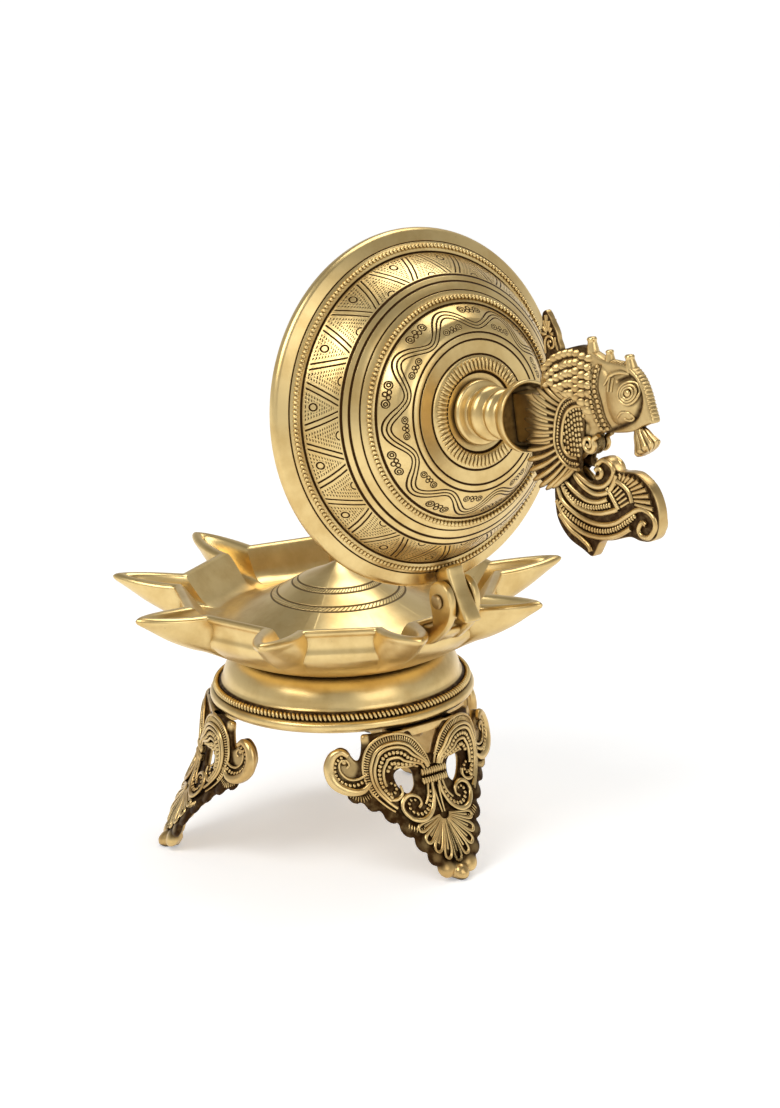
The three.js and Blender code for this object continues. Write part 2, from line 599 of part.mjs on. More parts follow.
function leafPlume() {
  const leaf = birdPlate([
    [84, 17], [82.8, 27], [82.6, 33], [84, 38], [86.6, 40], [89.4, 36.4], [91.6, 31.6], [92.2, 27], [92, 17],
  ], 16, -PLUME_HALF_DEPTH, PLUME_HALF_DEPTH, 0.5);
  const tips = [[84.2, 33.4], [86.4, 37], [89.2, 32.6]];
  const veins = tips.map((tip) => bar([[87.6, 24.6], tip], 1, [1.1, 0.7], [2.6, 2.4], 0, 4));
  return joined([leaf, ...veins]).subtract(birdBody(GAP));
}

// The flower bud under the beak: a ribbed fan on a short stalk.
const BUD_HALF_DEPTH = 2.1;
const BUD_STALK = [131.6, -2];

function flowerBud() {
  const fan = birdPlate([
    [129.6, 1], [136.6, 1], [137.6, -2.8], [140.8, -5.2], [139.8, -7.8], [136, -10], [131.4, -11.2],
    [130.4, -9.8], [131, -6.6], [130, -3.4],
  ], 18, -BUD_HALF_DEPTH, BUD_HALF_DEPTH, 0.6);
  const tips = [[132, -10], [135.2, -9.2], [138, -7.6]];
  const ribs = tips.map((tip) => bar([BUD_STALK, tip], 1, [0.8, 1.2], [3.8, 3.8], 0, 4));
  return joined([fan, ...ribs]).subtract(birdBody(GAP));
}

// Assembly
const lamp = new THREE.Group();
lamp.position.x = LAMP_AXIS_X;

lamp.add(piece('pedestal', pedestal(), polishedBrass));
for (let i = 0; i < LEG_COUNT; i += 1) {
  const place = ['rear', 'left', 'right'][i];
  const limb = piece(`leg_${place}`, leg(), antiqueBrass);
  const screw = piece(`leg_screw_${place}`, legScrew(), darkBrass);
  for (const mesh of [limb, screw]) {
    mesh.rotation.z = rad(i * 360 / LEG_COUNT);
    lamp.add(mesh);
  }
}
lamp.add(piece('oil_bowl', oilBowl(), polishedBrass));
lamp.add(piece('bowl_stud', bowlStud(), darkBrass));
const studBore = STUD_RADIUS + GAP;
lamp.add(piece('bowl_washer', washer(studBore, WASHER_RADIUS, WASHER_TOP_Z, WASHER_THICKNESS), darkBrass));
lamp.add(piece('bowl_nut', hexNut(studBore, NUT_ACROSS_FLATS, NUT_TOP_Z, NUT_HEIGHT), darkBrass));

const hinge = new THREE.Group();
hinge.position.set(HINGE_X, 0, HINGE_Z);
lamp.add(hinge);
hinge.add(piece('hinge_pin', hingePin(), darkBrass));

const swing = new THREE.Group();
swing.rotation.y = rad(LID_OPEN_ANGLE);
hinge.add(swing);
swing.add(piece('hinge_tongue', hingeTongue(), polishedBrass));

const cover = new THREE.Group();
cover.position.set(-HINGE_X, 0, LID_CLOSED_Z - HINGE_Z);
swing.add(cover);
cover.add(piece('lid', lid(), polishedBrass));
cover.add(piece('knob_stem', knobStem(), polishedBrass));
const knobBore = KNOB_STUD_RADIUS + GAP;
cover.add(piece('knob_washer',
  washer(knobBore, KNOB_WASHER_RADIUS, KNOB_WASHER_TOP, KNOB_WASHER_THICKNESS), darkBrass));
cover.add(piece('knob_nut',
  hexNut(knobBore, KNOB_NUT_ACROSS_FLATS, KNOB_NUT_TOP, KNOB_NUT_HEIGHT), darkBrass));
cover.add(piece('knob_cup', knobCup(), polishedBrass));
cover.add(piece('bird_body', birdBody(), antiqueBrass));
cover.add(piece('bird_wing_left', wing(1), antiqueBrass));
cover.add(piece('bird_wing_right', wing(-1), antiqueBrass));
cover.add(piece('bird_tail', tail(), antiqueBrass));
cover.add(piece('leaf_plume', leafPlume(), antiqueBrass));
cover.add(piece('flower_bud', flowerBud(), antiqueBrass));

export default lamp;
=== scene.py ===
"""Peacock oil lamp in cast brass: its looks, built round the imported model.

A nine-spouted oil bowl stands on a turned pedestal with three openwork legs, and a domed lid with
a peacock on its knob is thrown open on a hinge. Lengths in the classes are millimetres in the
lamp's or the lid's own frame, with z up the axis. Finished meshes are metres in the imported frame.
"""

import logging
from dataclasses import dataclass
from enum import Enum
from math import atan2, cos, pi, radians, sin, sqrt
from typing import Callable, Iterable, Sequence

import bmesh
import bpy
import numpy as np
from bpy.types import Material, Node, NodeSocket, NodeTree, Object, World
from mathutils import Matrix, Vector
from mathutils.bvhtree import BVHTree


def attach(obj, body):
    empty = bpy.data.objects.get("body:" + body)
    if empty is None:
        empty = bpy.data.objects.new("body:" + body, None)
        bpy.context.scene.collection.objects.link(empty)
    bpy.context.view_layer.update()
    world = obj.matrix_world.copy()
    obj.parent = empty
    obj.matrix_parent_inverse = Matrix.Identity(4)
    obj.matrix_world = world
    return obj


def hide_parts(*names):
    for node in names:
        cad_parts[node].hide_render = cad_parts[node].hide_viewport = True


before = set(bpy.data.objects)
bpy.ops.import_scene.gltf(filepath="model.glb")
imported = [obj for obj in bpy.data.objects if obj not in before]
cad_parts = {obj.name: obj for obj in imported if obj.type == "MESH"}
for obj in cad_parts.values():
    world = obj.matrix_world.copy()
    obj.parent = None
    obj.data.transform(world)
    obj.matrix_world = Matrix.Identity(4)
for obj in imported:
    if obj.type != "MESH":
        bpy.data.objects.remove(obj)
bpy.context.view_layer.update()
log = logging.getLogger("peacock_lamp")

Pair = tuple[float, float]
Pairs = tuple[Pair, ...]
Rows = np.ndarray
Corners = Sequence[Pair] | Rows
Gauge = float | Sequence[float]
Warp = Callable[[Rows], Rows]

MM = 0.001
LAMP_AXIS_X = -53.5
HINGE_X = 72.8
HINGE_Z = 113.5
LID_CLOSED_Z = 104.04
LID_OPEN_ANGLE = 82.0
LEG_COUNT = 3
SPOUT_COUNT = 9
SPOUT_PHASE = 3.6


class Place(Enum):
    """The two frames that pieces are drawn in."""

    LAMP = "lamp"
    LID = "lid"

    @property
    def matrix(self) -> Matrix:
        """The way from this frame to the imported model's frame, both in millimetres.

        Returns:
            The matrix.
        """
        to_axis = Matrix.Translation((LAMP_AXIS_X, 0, 0))
        if self is Place.LAMP:
            return to_axis
        swing = Matrix.Rotation(radians(LID_OPEN_ANGLE), 4, "Y")
        onto_pin = Matrix.Translation((-HINGE_X, 0, LID_CLOSED_Z - HINGE_Z))
        return to_axis @ Matrix.Translation((HINGE_X, 0, HINGE_Z)) @ swing @ onto_pin


class Body(Enum):
    """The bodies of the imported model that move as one."""

    BASE = "base"
    LID = "lid_assembly"


# Shells: points and faces in millimetres


@dataclass
class Shell:
    """One or more closed skins.

    Attributes:
        points: One row of x, y and z for each corner.
        faces: Corner numbers of each face, anticlockwise from outside.
        patina_and_shade: How dark the metal is at each corner, from nought to one, as patina and as painted
            shade.
    """

    points: Rows
    faces: list[tuple[int, ...]]
    patina_and_shade: Rows | None = None

    def warped(self, warp: Warp) -> "Shell":
        """Moves every point by a function of all the points."""
        return Shell(warp(self.points), self.faces, self.patina_and_shade)

    def darkened(self, darkness: Warp) -> "Shell":
        """Darkens the metal by a function of all the points, for patina and for painted shade."""
        return Shell(self.points, self.faces, np.clip(darkness(self.points), 0, 1))

    def evenly_darkened(self, darkness: float) -> "Shell":
        """Darkens the metal alike all over."""
        return self.darkened(lambda p: np.full(len(p), darkness))

    def moved(self, matrix: Matrix) -> "Shell":
        """Moves the shell by a matrix, and keeps its faces outward if that mirrors it.

        Args:
            matrix: Where it goes.

        Returns:
            The moved shell.
        """
        m = np.array(matrix)
        points = self.points @ m[:3, :3].T + m[:3, 3]
        if np.linalg.det(m[:3, :3]) < 0:
            return Shell(points, [face[::-1] for face in self.faces], self.patina_and_shade)
        return Shell(points, self.faces, self.patina_and_shade)

    def mirrored(self, axis: int) -> "Shell":
        """A copy on the other side of a plane through the origin."""
        flip = [1.0, 1.0, 1.0]
        flip[axis] = -1.0
        return self.moved(Matrix.Diagonal((*flip, 1.0)))


def merged(shells: Iterable[Shell]) -> Shell:
    """Puts several shells in one.

    Args:
        shells: The shells, none of which is changed.

    Returns:
        A shell with all their points and faces.
    """
    points: list[Rows] = []
    faces: list[tuple[int, ...]] = []
    patina_and_shade: list[Rows] = []
    start = 0
    for shell in shells:
        points.append(shell.points)
        faces.extend(tuple(start + i for i in face) for face in shell.faces)
        patina_and_shade.append(np.zeros(len(shell.points)) if shell.patina_and_shade is None else shell.patina_and_shade)
        start += len(shell.points)
    return Shell(np.concatenate(points), faces, np.concatenate(patina_and_shade))


def ramp(values: Rows, low: float, high: float) -> Rows:
    """A smooth rise from nought at one value to one at another."""
    t = np.clip((values - low) / (high - low), 0, 1)
    return t * t * (3 - 2 * t)


def spline(points: Sequence[Sequence[float]], count: int, closed: bool = False) -> Rows:
    """A smooth line through points, sampled at even distances.

    Args:
        points: What the line goes through, in two or three dimensions.
        count: How many samples it gets.
        closed: Whether the line comes back to its start.

    Returns:
        The samples, one row each.
    """
    p = np.array(points, float)
    p = np.vstack([p[-1], p, p[:2]]) if closed else np.vstack([2 * p[0] - p[1], p, 2 * p[-1] - p[-2]])
    fine = []
    for a, b, c, d in zip(p[:-3], p[1:-2], p[2:-1], p[3:]):
        t = np.linspace(0, 1, 24, endpoint=False)[:, None]
        bend, twist = 2 * a - 5 * b + 4 * c - d, 3 * b - a - 3 * c + d
        fine.append(0.5 * (2 * b + (c - a) * t + bend * t**2 + twist * t**3))
    line = np.vstack([*fine, p[-2][None]])
    run = np.concatenate([[0], np.cumsum(np.linalg.norm(np.diff(line, axis=0), axis=1))])
    at = np.linspace(0, run[-1], count + 1)[:-1] if closed else np.linspace(0, run[-1], count)
    return np.column_stack([np.interp(at, run, line[:, k]) for k in range(line.shape[1])])


def rounded(profile: Sequence[Pair], fillet: float, steps: int = 3) -> list[Pair]:
    """Rounds the inner corners of an open line.

    Args:
        profile: The line's corners.
        fillet: The most that a corner is cut back along each of its sides.
        steps: How many pieces make each rounded corner.

    Returns:
        The line with each corner but its ends replaced by a short curve.
    """
    out = [profile[0]]
    for before, corner, after in zip(profile, profile[1:], profile[2:]):
        a, b, c = (np.array(p, float) for p in (before, corner, after))
        cut = min(fillet, np.linalg.norm(b - a) * 0.45, np.linalg.norm(c - b) * 0.45)
        start = b + (a - b) / np.linalg.norm(a - b) * cut
        end = b + (c - b) / np.linalg.norm(c - b) * cut
        for t in np.linspace(0, 1, steps + 1):
            out.append(tuple((1 - t) ** 2 * start + 2 * t * (1 - t) * b + t**2 * end))
    return [*out, profile[-1]]


def skin(rings: Rows, around: bool = True, capped: bool = True) -> Shell:
    """A skin over rings of equally many points.

    Args:
        rings: Array of rings by points by three.
        around: Whether each ring is closed.
        capped: Whether the first and last ring are filled.

    Returns:
        The shell, whose faces point out where the rings run anticlockwise seen from the last one.
    """
    count, size = rings.shape[:2]
    faces: list[tuple[int, ...]] = []
    for i in range(count - 1):
        for j in range(size if around else size - 1):
            a, b = i * size + j, i * size + (j + 1) % size
            faces.append((a, b, b + size, a + size))
    if capped:
        faces.append(tuple(range(size))[::-1])
        faces.append(tuple((count - 1) * size + j for j in range(size)))
    return Shell(rings.reshape(-1, 3), faces)


def lathe(profile: Sequence[Pair], segments: int, closed: bool = False) -> Shell:
    """A turned shell about z.

    Args:
        profile: Radius and height along the section, running up the outside. Points on the axis
            become poles.
        segments: Sides of the turned shell.
        closed: Whether the section is a ring, which comes back to its first point.

    Returns:
        The turned shell.
    """
    angle = np.linspace(0, 2 * pi, segments, endpoint=False)
    points: list[tuple[float, float, float]] = []
    rows: list[list[int]] = []
    for r, z in profile:
        start = len(points)
        if r < 1e-6:
            points.append((0.0, 0.0, z))
            rows.append([start] * segments)
        else:
            points.extend((r * cos(a), r * sin(a), z) for a in angle)
            rows.append(list(range(start, start + segments)))
    if closed:
        rows.append(rows[0])
    faces = []
    for low, high in zip(rows, rows[1:]):
        for j in range(segments):
            k = (j + 1) % segments
            face = tuple(dict.fromkeys((low[j], low[k], high[k], high[j])))
            if len(face) > 2:
                faces.append(face)
    return Shell(np.array(points), faces)


def slab(outline: Rows, low: float, high: float, bevel: float) -> Shell:
    """A flat plate with rounded edges.

    Args:
        outline: The plate's outline in x and y.
        low: Height of its underside.
        high: Height of its top.
        bevel: Size of the rounding along its edges.

    Returns:
        The plate as a closed shell.
    """
    following = np.roll(outline, -1, axis=0)
    turning = np.sum(outline[:, 0] * following[:, 1] - following[:, 0] * outline[:, 1])
    line = outline if turning > 0 else outline[::-1]
    ahead = np.roll(line, -1, axis=0) - np.roll(line, 1, axis=0)
    inward = np.column_stack([-ahead[:, 1], ahead[:, 0]])
    inward /= np.linalg.norm(inward, axis=1)[:, None]
    rings = []
    for turn in np.linspace(0, pi / 2, 4):
        rings.append(np.column_stack([line + inward * bevel * (1 - sin(turn)),
                                      np.full(len(line), low + bevel * (1 - cos(turn)))]))
    top = [np.column_stack([ring[:, :2], low + high - ring[:, 2]]) for ring in rings[::-1]]
    return skin(np.array([*rings, *top]))


# Node trees


class Signal:
    """A value in a node tree, worked out with plain arithmetic."""

    def __init__(self, tree: NodeTree, socket: NodeSocket) -> None:
        """Wraps an output socket of a tree."""
        self.tree = tree
        self.socket = socket

    def math(self, operation: str, *others: "Signal | float") -> "Signal":
        """Adds a math node.

        Args:
            operation: The node's operation.
            others: Its second and third value.

        Returns:
            The node's value.
        """
        node = self.tree.nodes.new("ShaderNodeMath")
        node.operation = operation
        self.tree.links.new(self.socket, node.inputs[0])
        for socket, value in zip(node.inputs[1:], others):
            if isinstance(value, Signal):
                self.tree.links.new(value.socket, socket)
            else:
                socket.default_value = value
        return Signal(self.tree, node.outputs[0])

    def __add__(self, other: "Signal | float") -> "Signal":
        """The sum."""
        return self.math("ADD", other)

    def __sub__(self, other: "Signal | float") -> "Signal":
        """The difference."""
        return self.math("SUBTRACT", other)

    def __rsub__(self, other: float) -> "Signal":
        """A number less this value."""
        return self.math("MULTIPLY_ADD", -1.0, other)

    def __mul__(self, other: "Signal | float") -> "Signal":
        """The product."""
        return self.math("MULTIPLY", other)

    def __truediv__(self, other: "Signal | float") -> "Signal":
        """The quotient."""
        return self.math("DIVIDE", other)

    def or_more(self, other: "Signal") -> "Signal":
        """The greater of two values."""
        return self.math("MAXIMUM", other)

    __radd__ = __add__
    __rmul__ = __mul__

    def band(self, low: float, high: float, soft: float) -> "Signal":
        """One between two limits, with soft edges, and nought elsewhere."""
        return self.step(low - soft, low + soft) * (1.0 - self.step(high - soft, high + soft))

    def step(self, low: float, high: float) -> "Signal":
        """A smooth rise from nought at one limit to one at the other.

        Args:
            low: The lower limit.
            high: The upper one.

        Returns:
            The rise.
        """
        node = self.tree.nodes.new("ShaderNodeMapRange")
        node.interpolation_type = "SMOOTHSTEP"
        self.tree.links.new(self.socket, node.inputs["Value"])
        node.inputs["From Min"].default_value = low
        node.inputs["From Max"].default_value = high
        return Signal(self.tree, node.outputs["Result"])

    def line(self, centre: "Signal | float", half: float, soft: float) -> "Signal":
        """One within a distance of a centre, fading to nought over a soft edge."""
        return 1.0 - (self - centre).math("ABSOLUTE").step(half - soft, half + soft)

    def cell(self, pitch: float) -> "Signal":
        """The distance from the nearest of the marks that stand a pitch apart."""
        return self.math("PINGPONG", pitch / 2)


class Graph:
    """A short way to add and link nodes."""

    def __init__(self, tree: NodeTree) -> None:
        """Takes the tree to work in."""
        self.tree = tree

    @staticmethod
    def cleared(owner: Material | World) -> "Graph":
        """The graph of a material or world, emptied of its first nodes."""
        owner.use_nodes = True
        owner.node_tree.nodes.clear()
        return Graph(owner.node_tree)

    def node(self, kind: str, settings: dict | None = None, **inputs: object) -> Node:
        """Adds a node.

        Args:
            kind: The node's type name.
            settings: Its properties by name.
            inputs: Values, signals or sockets by input name, with _ for a space.

        Returns:
            The node.
        """
        node = self.tree.nodes.new(kind)
        for name, value in (settings or {}).items():
            setattr(node, name, value)
        for name, value in inputs.items():
            self.feed(node.inputs[name.replace("_", " ")], value)
        return node

    def feed(self, socket: NodeSocket, value: object) -> None:
        """Links a signal or a socket to an input, or sets the input to a plain value.

        Args:
            socket: The input.
            value: What it gets.
        """
        source = value.socket if isinstance(value, Signal) else value
        if isinstance(source, NodeSocket):
            self.tree.links.new(source, socket)
        else:
            socket.default_value = value

    def signal(self, node: Node, output: str | int = 0) -> Signal:
        """One of a node's outputs as a signal."""
        return Signal(self.tree, node.outputs[output])


# Finishes


@dataclass(frozen=True)
class BrassFinish:
    """Cast brass with polish on its heights, and dark patina with painted shade in its hollows.

    Attributes:
        name: The material's name.
        bright: Colour of the polished metal, linear.
        deep: Colour that the metal turns to in patches.
        patina_and_shade: Colour of the dirt and oxide in the hollows, and of the shade painted there.
        roughness: Roughness of the polished metal.
        hollow_reach: How wide a hollow still takes patina and painted shade, in millimetres.
        hollow_strength: From nought to one, how much patina and painted shade the hollows take.
        grain: Depth of the cast grain, in millimetres.
    """

    name: str
    bright: tuple[float, float, float] = (0.80, 0.60, 0.27)
    deep: tuple[float, float, float] = (0.64, 0.44, 0.17)
    patina_and_shade: tuple[float, float, float] = (0.045, 0.020, 0.006)
    roughness: float = 0.31
    hollow_reach: float = 3.0
    hollow_strength: float = 0.55
    grain: float = 0.015

    def material(self, engraving: "Engraving | None" = None) -> Material:
        """Builds the material.

        Args:
            engraving: Lines cut into the surface, dark at their bottom.

        Returns:
            The material.
        """
        material = bpy.data.materials.new(self.name)
        g = Graph.cleared(material)
        place = g.node("ShaderNodeTexCoord").outputs["Object"]
        cloud = g.signal(g.node("ShaderNodeTexNoise", Vector=place, Scale=55.0, Detail=5.0, Roughness=0.62))
        speck = g.signal(g.node("ShaderNodeTexNoise", Vector=place, Scale=420.0, Detail=3.0))
        fine = g.signal(g.node("ShaderNodeTexNoise", Vector=place, Scale=2600.0, Detail=2.0))
        pit = g.node("ShaderNodeTexVoronoi", Vector=place, Scale=260.0)
        pits = 1.0 - g.signal(pit, "Distance").step(0.03, 0.16)
        sparse = speck.step(0.6, 0.72)
        # Painted shade with patina: where ambient occlusion finds the metal enclosed, its colour darkens
        # towards the patina colour.
        hollow = g.node("ShaderNodeAmbientOcclusion", {"samples": 6}, Distance=self.hollow_reach * MM)
        open_air = g.signal(hollow, "AO").math("POWER", 1.5)
        dirt_and_shade = (1.0 - open_air.step(0.12, 0.86)) * (0.7 + speck * 0.6) * self.hollow_strength
        # The darkness stored on the mesh, for patina and for painted shade.
        darkened = g.signal(g.node("ShaderNodeAttribute", {"attribute_name": "patina_and_shade"}), "Fac")
        dirt_and_shade = dirt_and_shade.math("MAXIMUM", darkened * (0.72 + speck * 0.5)) + pits * sparse * 0.3
        height = fine * 0.25 + cloud * 0.5 + speck * 0.25 - pits * sparse * 1.2
        if engraving:
            cut = engraving.signal(g, place)
            dirt_and_shade = dirt_and_shade + cut * engraving.darkness
            height = height - cut * (engraving.depth / self.grain)
        dirt_and_shade = dirt_and_shade.math("MINIMUM", 1.0).math("MAXIMUM", 0.0)
        metal = g.node("ShaderNodeMix", {"data_type": "RGBA"})
        g.feed(metal.inputs[0], cloud.step(0.35, 0.72))
        metal.inputs[6].default_value = (*self.bright, 1.0)
        metal.inputs[7].default_value = (*self.deep, 1.0)
        coloured = g.node("ShaderNodeMix", {"data_type": "RGBA"})
        g.feed(coloured.inputs[0], dirt_and_shade)
        g.feed(coloured.inputs[6], metal.outputs[2])
        coloured.inputs[7].default_value = (*self.patina_and_shade, 1.0)
        bump = g.node("ShaderNodeBump", Height=height, Distance=self.grain * MM, Strength=1.0)
        surface = g.node("ShaderNodeBsdfPrincipled", Base_Color=coloured.outputs[2], Normal=bump.outputs[0],
                         Metallic=1.0, Specular_IOR_Level=0.2,
                         Roughness=self.roughness + (cloud - 0.5) * 0.12 + dirt_and_shade * 0.3)
        g.node("ShaderNodeOutputMaterial", Surface=surface.outputs[0])
        return material


@dataclass(frozen=True)
class Engraving:
    """Lines cut into a turned surface, drawn in the angle and the radius about its axis.

    Attributes:
        place: The frame whose axis the surface is turned about.
        drawing: Gives the cut's signal from the angle in degrees and the radius in millimetres.
        depth: Depth of the cut, in millimetres.
        darkness: How much patina the cut holds, from nought to one.
    """

    place: Place
    drawing: Callable[[Signal, Signal], Signal]
    depth: float = 0.25
    darkness: float = 0.9

    def signal(self, g: Graph, place: NodeSocket) -> Signal:
        """Works out the cut.

        Args:
            g: The material's graph.
            place: Socket with the object's own coordinates.

        Returns:
            One where the surface is cut and nought where it is whole.
        """
        back = self.place.matrix.inverted()
        mapping = g.node("ShaderNodeMapping", Vector=place, Location=back.translation * MM,
                         Rotation=back.to_euler())
        split = g.node("ShaderNodeSeparateXYZ", Vector=mapping.outputs[0])
        x, y = g.signal(split, "X"), g.signal(split, "Y")
        radius = (x * x + y * y).math("SQRT") * 1000.0
        angle = y.math("ARCTAN2", x) * (180.0 / pi) + 180.0
        return self.drawing(angle, radius)


# Ornament made by geometry nodes


def socket_ids(tree: NodeTree) -> dict[str, str]:
    """The identifier of each input of a geometry tree by its name."""
    return {item.name: item.identifier for item in tree.interface.items_tree if item.in_out == "INPUT"}


def evaluated(obj: Object) -> Shell:
    """Reads an object with its modifiers as a plain shell and deletes it.

    Args:
        obj: The object, whose modifiers are live.

    Returns:
        The shell, in the object's own units.
    """
    obj.update_tag()
    bpy.context.view_layer.update()
    graph = bpy.context.evaluated_depsgraph_get()
    mesh = bpy.data.meshes.new_from_object(obj.evaluated_get(graph), depsgraph=graph)
    points = np.zeros(len(mesh.vertices) * 3, np.float32)
    mesh.vertices.foreach_get("co", points)
    faces = [tuple(p.vertices) for p in mesh.polygons]
    bpy.data.meshes.remove(mesh)
    source = obj.data
    bpy.data.objects.remove(obj)
    bpy.data.meshes.remove(source)
    return Shell(points.reshape(-1, 3).astype(float), faces)


def link(obj: Object) -> None:
    """Puts an object in the scene."""
    bpy.context.scene.collection.objects.link(obj)


def scratch_object(name: str, points: Rows, edges: Sequence[tuple[int, int]] = (),
                   faces: Sequence[tuple[int, ...]] = ()) -> Object:
    """Makes a temporary object in the scene.

    Args:
        name: Its name.
        points: Its points.
        edges: Its loose edges.
        faces: Its faces.

    Returns:
        The object.
    """
    mesh = bpy.data.meshes.new(name)
    mesh.from_pydata(points.tolist(), edges, faces)
    obj = bpy.data.objects.new(name, mesh)
    link(obj)
    return obj


@dataclass
class Path:
    """A line that ornament follows.

    Attributes:
        points: Samples along the line, in three dimensions.
        gauge: Half width of the ornament at each sample.
        up: Direction that the ornament stands up in at each sample.
    """

    points: Rows
    gauge: Rows
    up: Rows

    @staticmethod
    def flat(corners: Corners, gauge: Gauge, height: float = 0.0, step: float = 0.6,
             closed: bool = False) -> "Path":
        """A smooth line in a plane.

        Args:
            corners: Points that the line goes through.
            gauge: Half width of the ornament, or several values spread along the line.
            height: Height of the plane.
            step: Distance between samples.
            closed: Whether the line comes back to its start.

        Returns:
            The path.
        """
        rough = spline(corners, 60, closed)
        length = np.sum(np.linalg.norm(np.diff(rough, axis=0), axis=1))
        count = max(4, int(length / step))
        line = spline(corners, count, closed)
        if closed:
            line = np.vstack([line, line[:1]])
        values = np.atleast_1d(np.array(gauge, float))
        spread = np.interp(np.linspace(0, 1, len(line)), np.linspace(0, 1, len(values)), values)
        points = np.column_stack([line, np.full(len(line), height)])
        return Path(points, spread, np.tile([0.0, 0.0, 1.0], (len(line), 1)))

    @staticmethod
    def ring(radius: float, z: float, gauge: float, slope: float = 0.0, samples: int = 240) -> "Path":
        """A circle about z.

        Args:
            radius: The circle's radius.
            z: Its height.
            gauge: Half width of the ornament.
            slope: Degrees that the surface under it leans outwards.
            samples: How many samples the circle has.

        Returns:
            The path.
        """
        angle = np.linspace(0, 2 * pi, samples + 1)
        out = np.column_stack([np.cos(angle), np.sin(angle), np.zeros_like(angle)])
        lean = radians(slope)
        up = out * sin(lean) + np.array([0.0, 0.0, cos(lean)])
        return Path(out * radius + np.array([0.0, 0.0, z]), np.full(samples + 1, gauge), up)


def ornament_lines(paths: Sequence[Path]) -> Object:
    """Makes one object of several paths, with their gauge and up as attributes.

    Args:
        paths: The paths.

    Returns:
        The object.
    """
    points = np.concatenate([p.points for p in paths])
    edges: list[tuple[int, int]] = []
    start = 0
    for p in paths:
        edges.extend((start + i, start + i + 1) for i in range(len(p.points) - 1))
        start += len(p.points)
    obj = scratch_object("ornament_lines", points, edges)
    gauge = obj.data.attributes.new("gauge", "FLOAT", "POINT")
    gauge.data.foreach_set("value", np.concatenate([p.gauge for p in paths]).astype(np.float32))
    up = obj.data.attributes.new("up", "FLOAT_VECTOR", "POINT")
    up.data.foreach_set("vector", np.concatenate([p.up for p in paths]).astype(np.float32).ravel())
    return obj


def geometry_tree(name: str, inputs: dict[str, float]) -> tuple[NodeTree, Node, Node]:
    """Starts a geometry tree.

    Args:
        name: The tree's name.
        inputs: Its named sizes and their first values.

    Returns:
        The tree and its input and output node.
    """
    tree = bpy.data.node_groups.new(name, "GeometryNodeTree")
    tree.interface.new_socket("Geometry", in_out="INPUT", socket_type="NodeSocketGeometry")
    for label, value in inputs.items():
        socket = tree.interface.new_socket(label, in_out="INPUT", socket_type="NodeSocketFloat")
        socket.default_value = value
    tree.interface.new_socket("Material", in_out="INPUT", socket_type="NodeSocketMaterial")
    tree.interface.new_socket("Geometry", in_out="OUTPUT", socket_type="NodeSocketGeometry")
    return tree, tree.nodes.new("NodeGroupInput"), tree.nodes.new("NodeGroupOutput")


def run_tree(obj: Object, tree: NodeTree, values: dict[str, object]) -> Shell:
    """Runs a geometry tree on an object and reads the result, by the sockets' identifiers.

    Args:
        obj: The object with the lines.
        tree: The geometry tree.
        values: Its inputs by name.

    Returns:
        The result.
    """
    modifier = obj.modifiers.new("ornament", "NODES")
    modifier.node_group = tree
    ids = socket_ids(tree)
    for label, value in values.items():
        modifier[ids[label]] = value
    return evaluated(obj)


def end_tree(g: Graph, shape: Node, source: Node, out: Node) -> None:
    """Ends a geometry tree: makes its instances real and gives them the material."""
    real = g.node("GeometryNodeRealizeInstances", Geometry=shape.outputs[0])
    dressed = g.node("GeometryNodeSetMaterial", Geometry=real.outputs[0], Material=source.outputs["Material"])
    g.feed(out.inputs["Geometry"], dressed.outputs[0])


class StampRow:
    """Beads, slanted rope strands or cross ribs, stamped at even steps along paths."""

    def __init__(self) -> None:
        """Builds the geometry tree once."""
        sizes = {"Pitch": 1.6, "Length": 1.0, "Width": 1.0, "Height": 1.0, "Slant": 0.0}
        self.tree, source, out = geometry_tree("stamp_row", sizes)
        g = Graph(self.tree)
        line = g.node("GeometryNodeMeshToCurve", Mesh=source.outputs["Geometry"])
        spaced = g.node("GeometryNodeResampleCurve", {"mode": "LENGTH"}, Curve=line.outputs[0],
                        Length=source.outputs["Pitch"])
        bead = g.node("GeometryNodeMeshUVSphere", Segments=10, Rings=7, Radius=1.0)
        up = g.node("GeometryNodeInputNamedAttribute", {"data_type": "FLOAT_VECTOR"}, Name="up")
        along = g.node("GeometryNodeInputTangent")
        stand = g.node("FunctionNodeAxesToRotation", {"primary_axis": "Z", "secondary_axis": "X"},
                       Primary_Axis=up.outputs[0], Secondary_Axis=along.outputs[0])
        turn = g.node("ShaderNodeCombineXYZ", Z=source.outputs["Slant"])
        slant = g.node("FunctionNodeRotateRotation", {"rotation_space": "LOCAL"}, Rotation=stand.outputs[0],
                       Rotate_By=turn.outputs[0])
        gauge = g.node("GeometryNodeInputNamedAttribute", {"data_type": "FLOAT"}, Name="gauge")
        shape = g.node("ShaderNodeCombineXYZ", X=source.outputs["Length"], Y=source.outputs["Width"],
                       Z=source.outputs["Height"])
        size = g.node("ShaderNodeVectorMath", {"operation": "SCALE"}, Vector=shape.outputs[0],
                      Scale=gauge.outputs[0])
        stamped = g.node("GeometryNodeInstanceOnPoints", Points=spaced.outputs[0], Instance=bead.outputs[0],
                         Rotation=slant.outputs[0], Scale=size.outputs[0])
        end_tree(g, stamped, source, out)

    def along(self, paths: Sequence[Path], pitch: float, length: float = 1.0, width: float = 1.0,
              height: float = 1.0, slant: float = 0.0) -> Shell:
        """Stamps beads along paths.

        Args:
            paths: The lines to follow, whose gauge is half a bead's width.
            pitch: Distance between beads.
            length: Length of a bead along its line, against its gauge.
            width: Its width across the line, against its gauge.
            height: Its height, against its gauge.
            slant: Degrees that it is turned in the surface.

        Returns:
            The beads.
        """
        return run_tree(ornament_lines(paths), self.tree, {
            "Pitch": pitch, "Length": length, "Width": width, "Height": height, "Slant": radians(slant)})


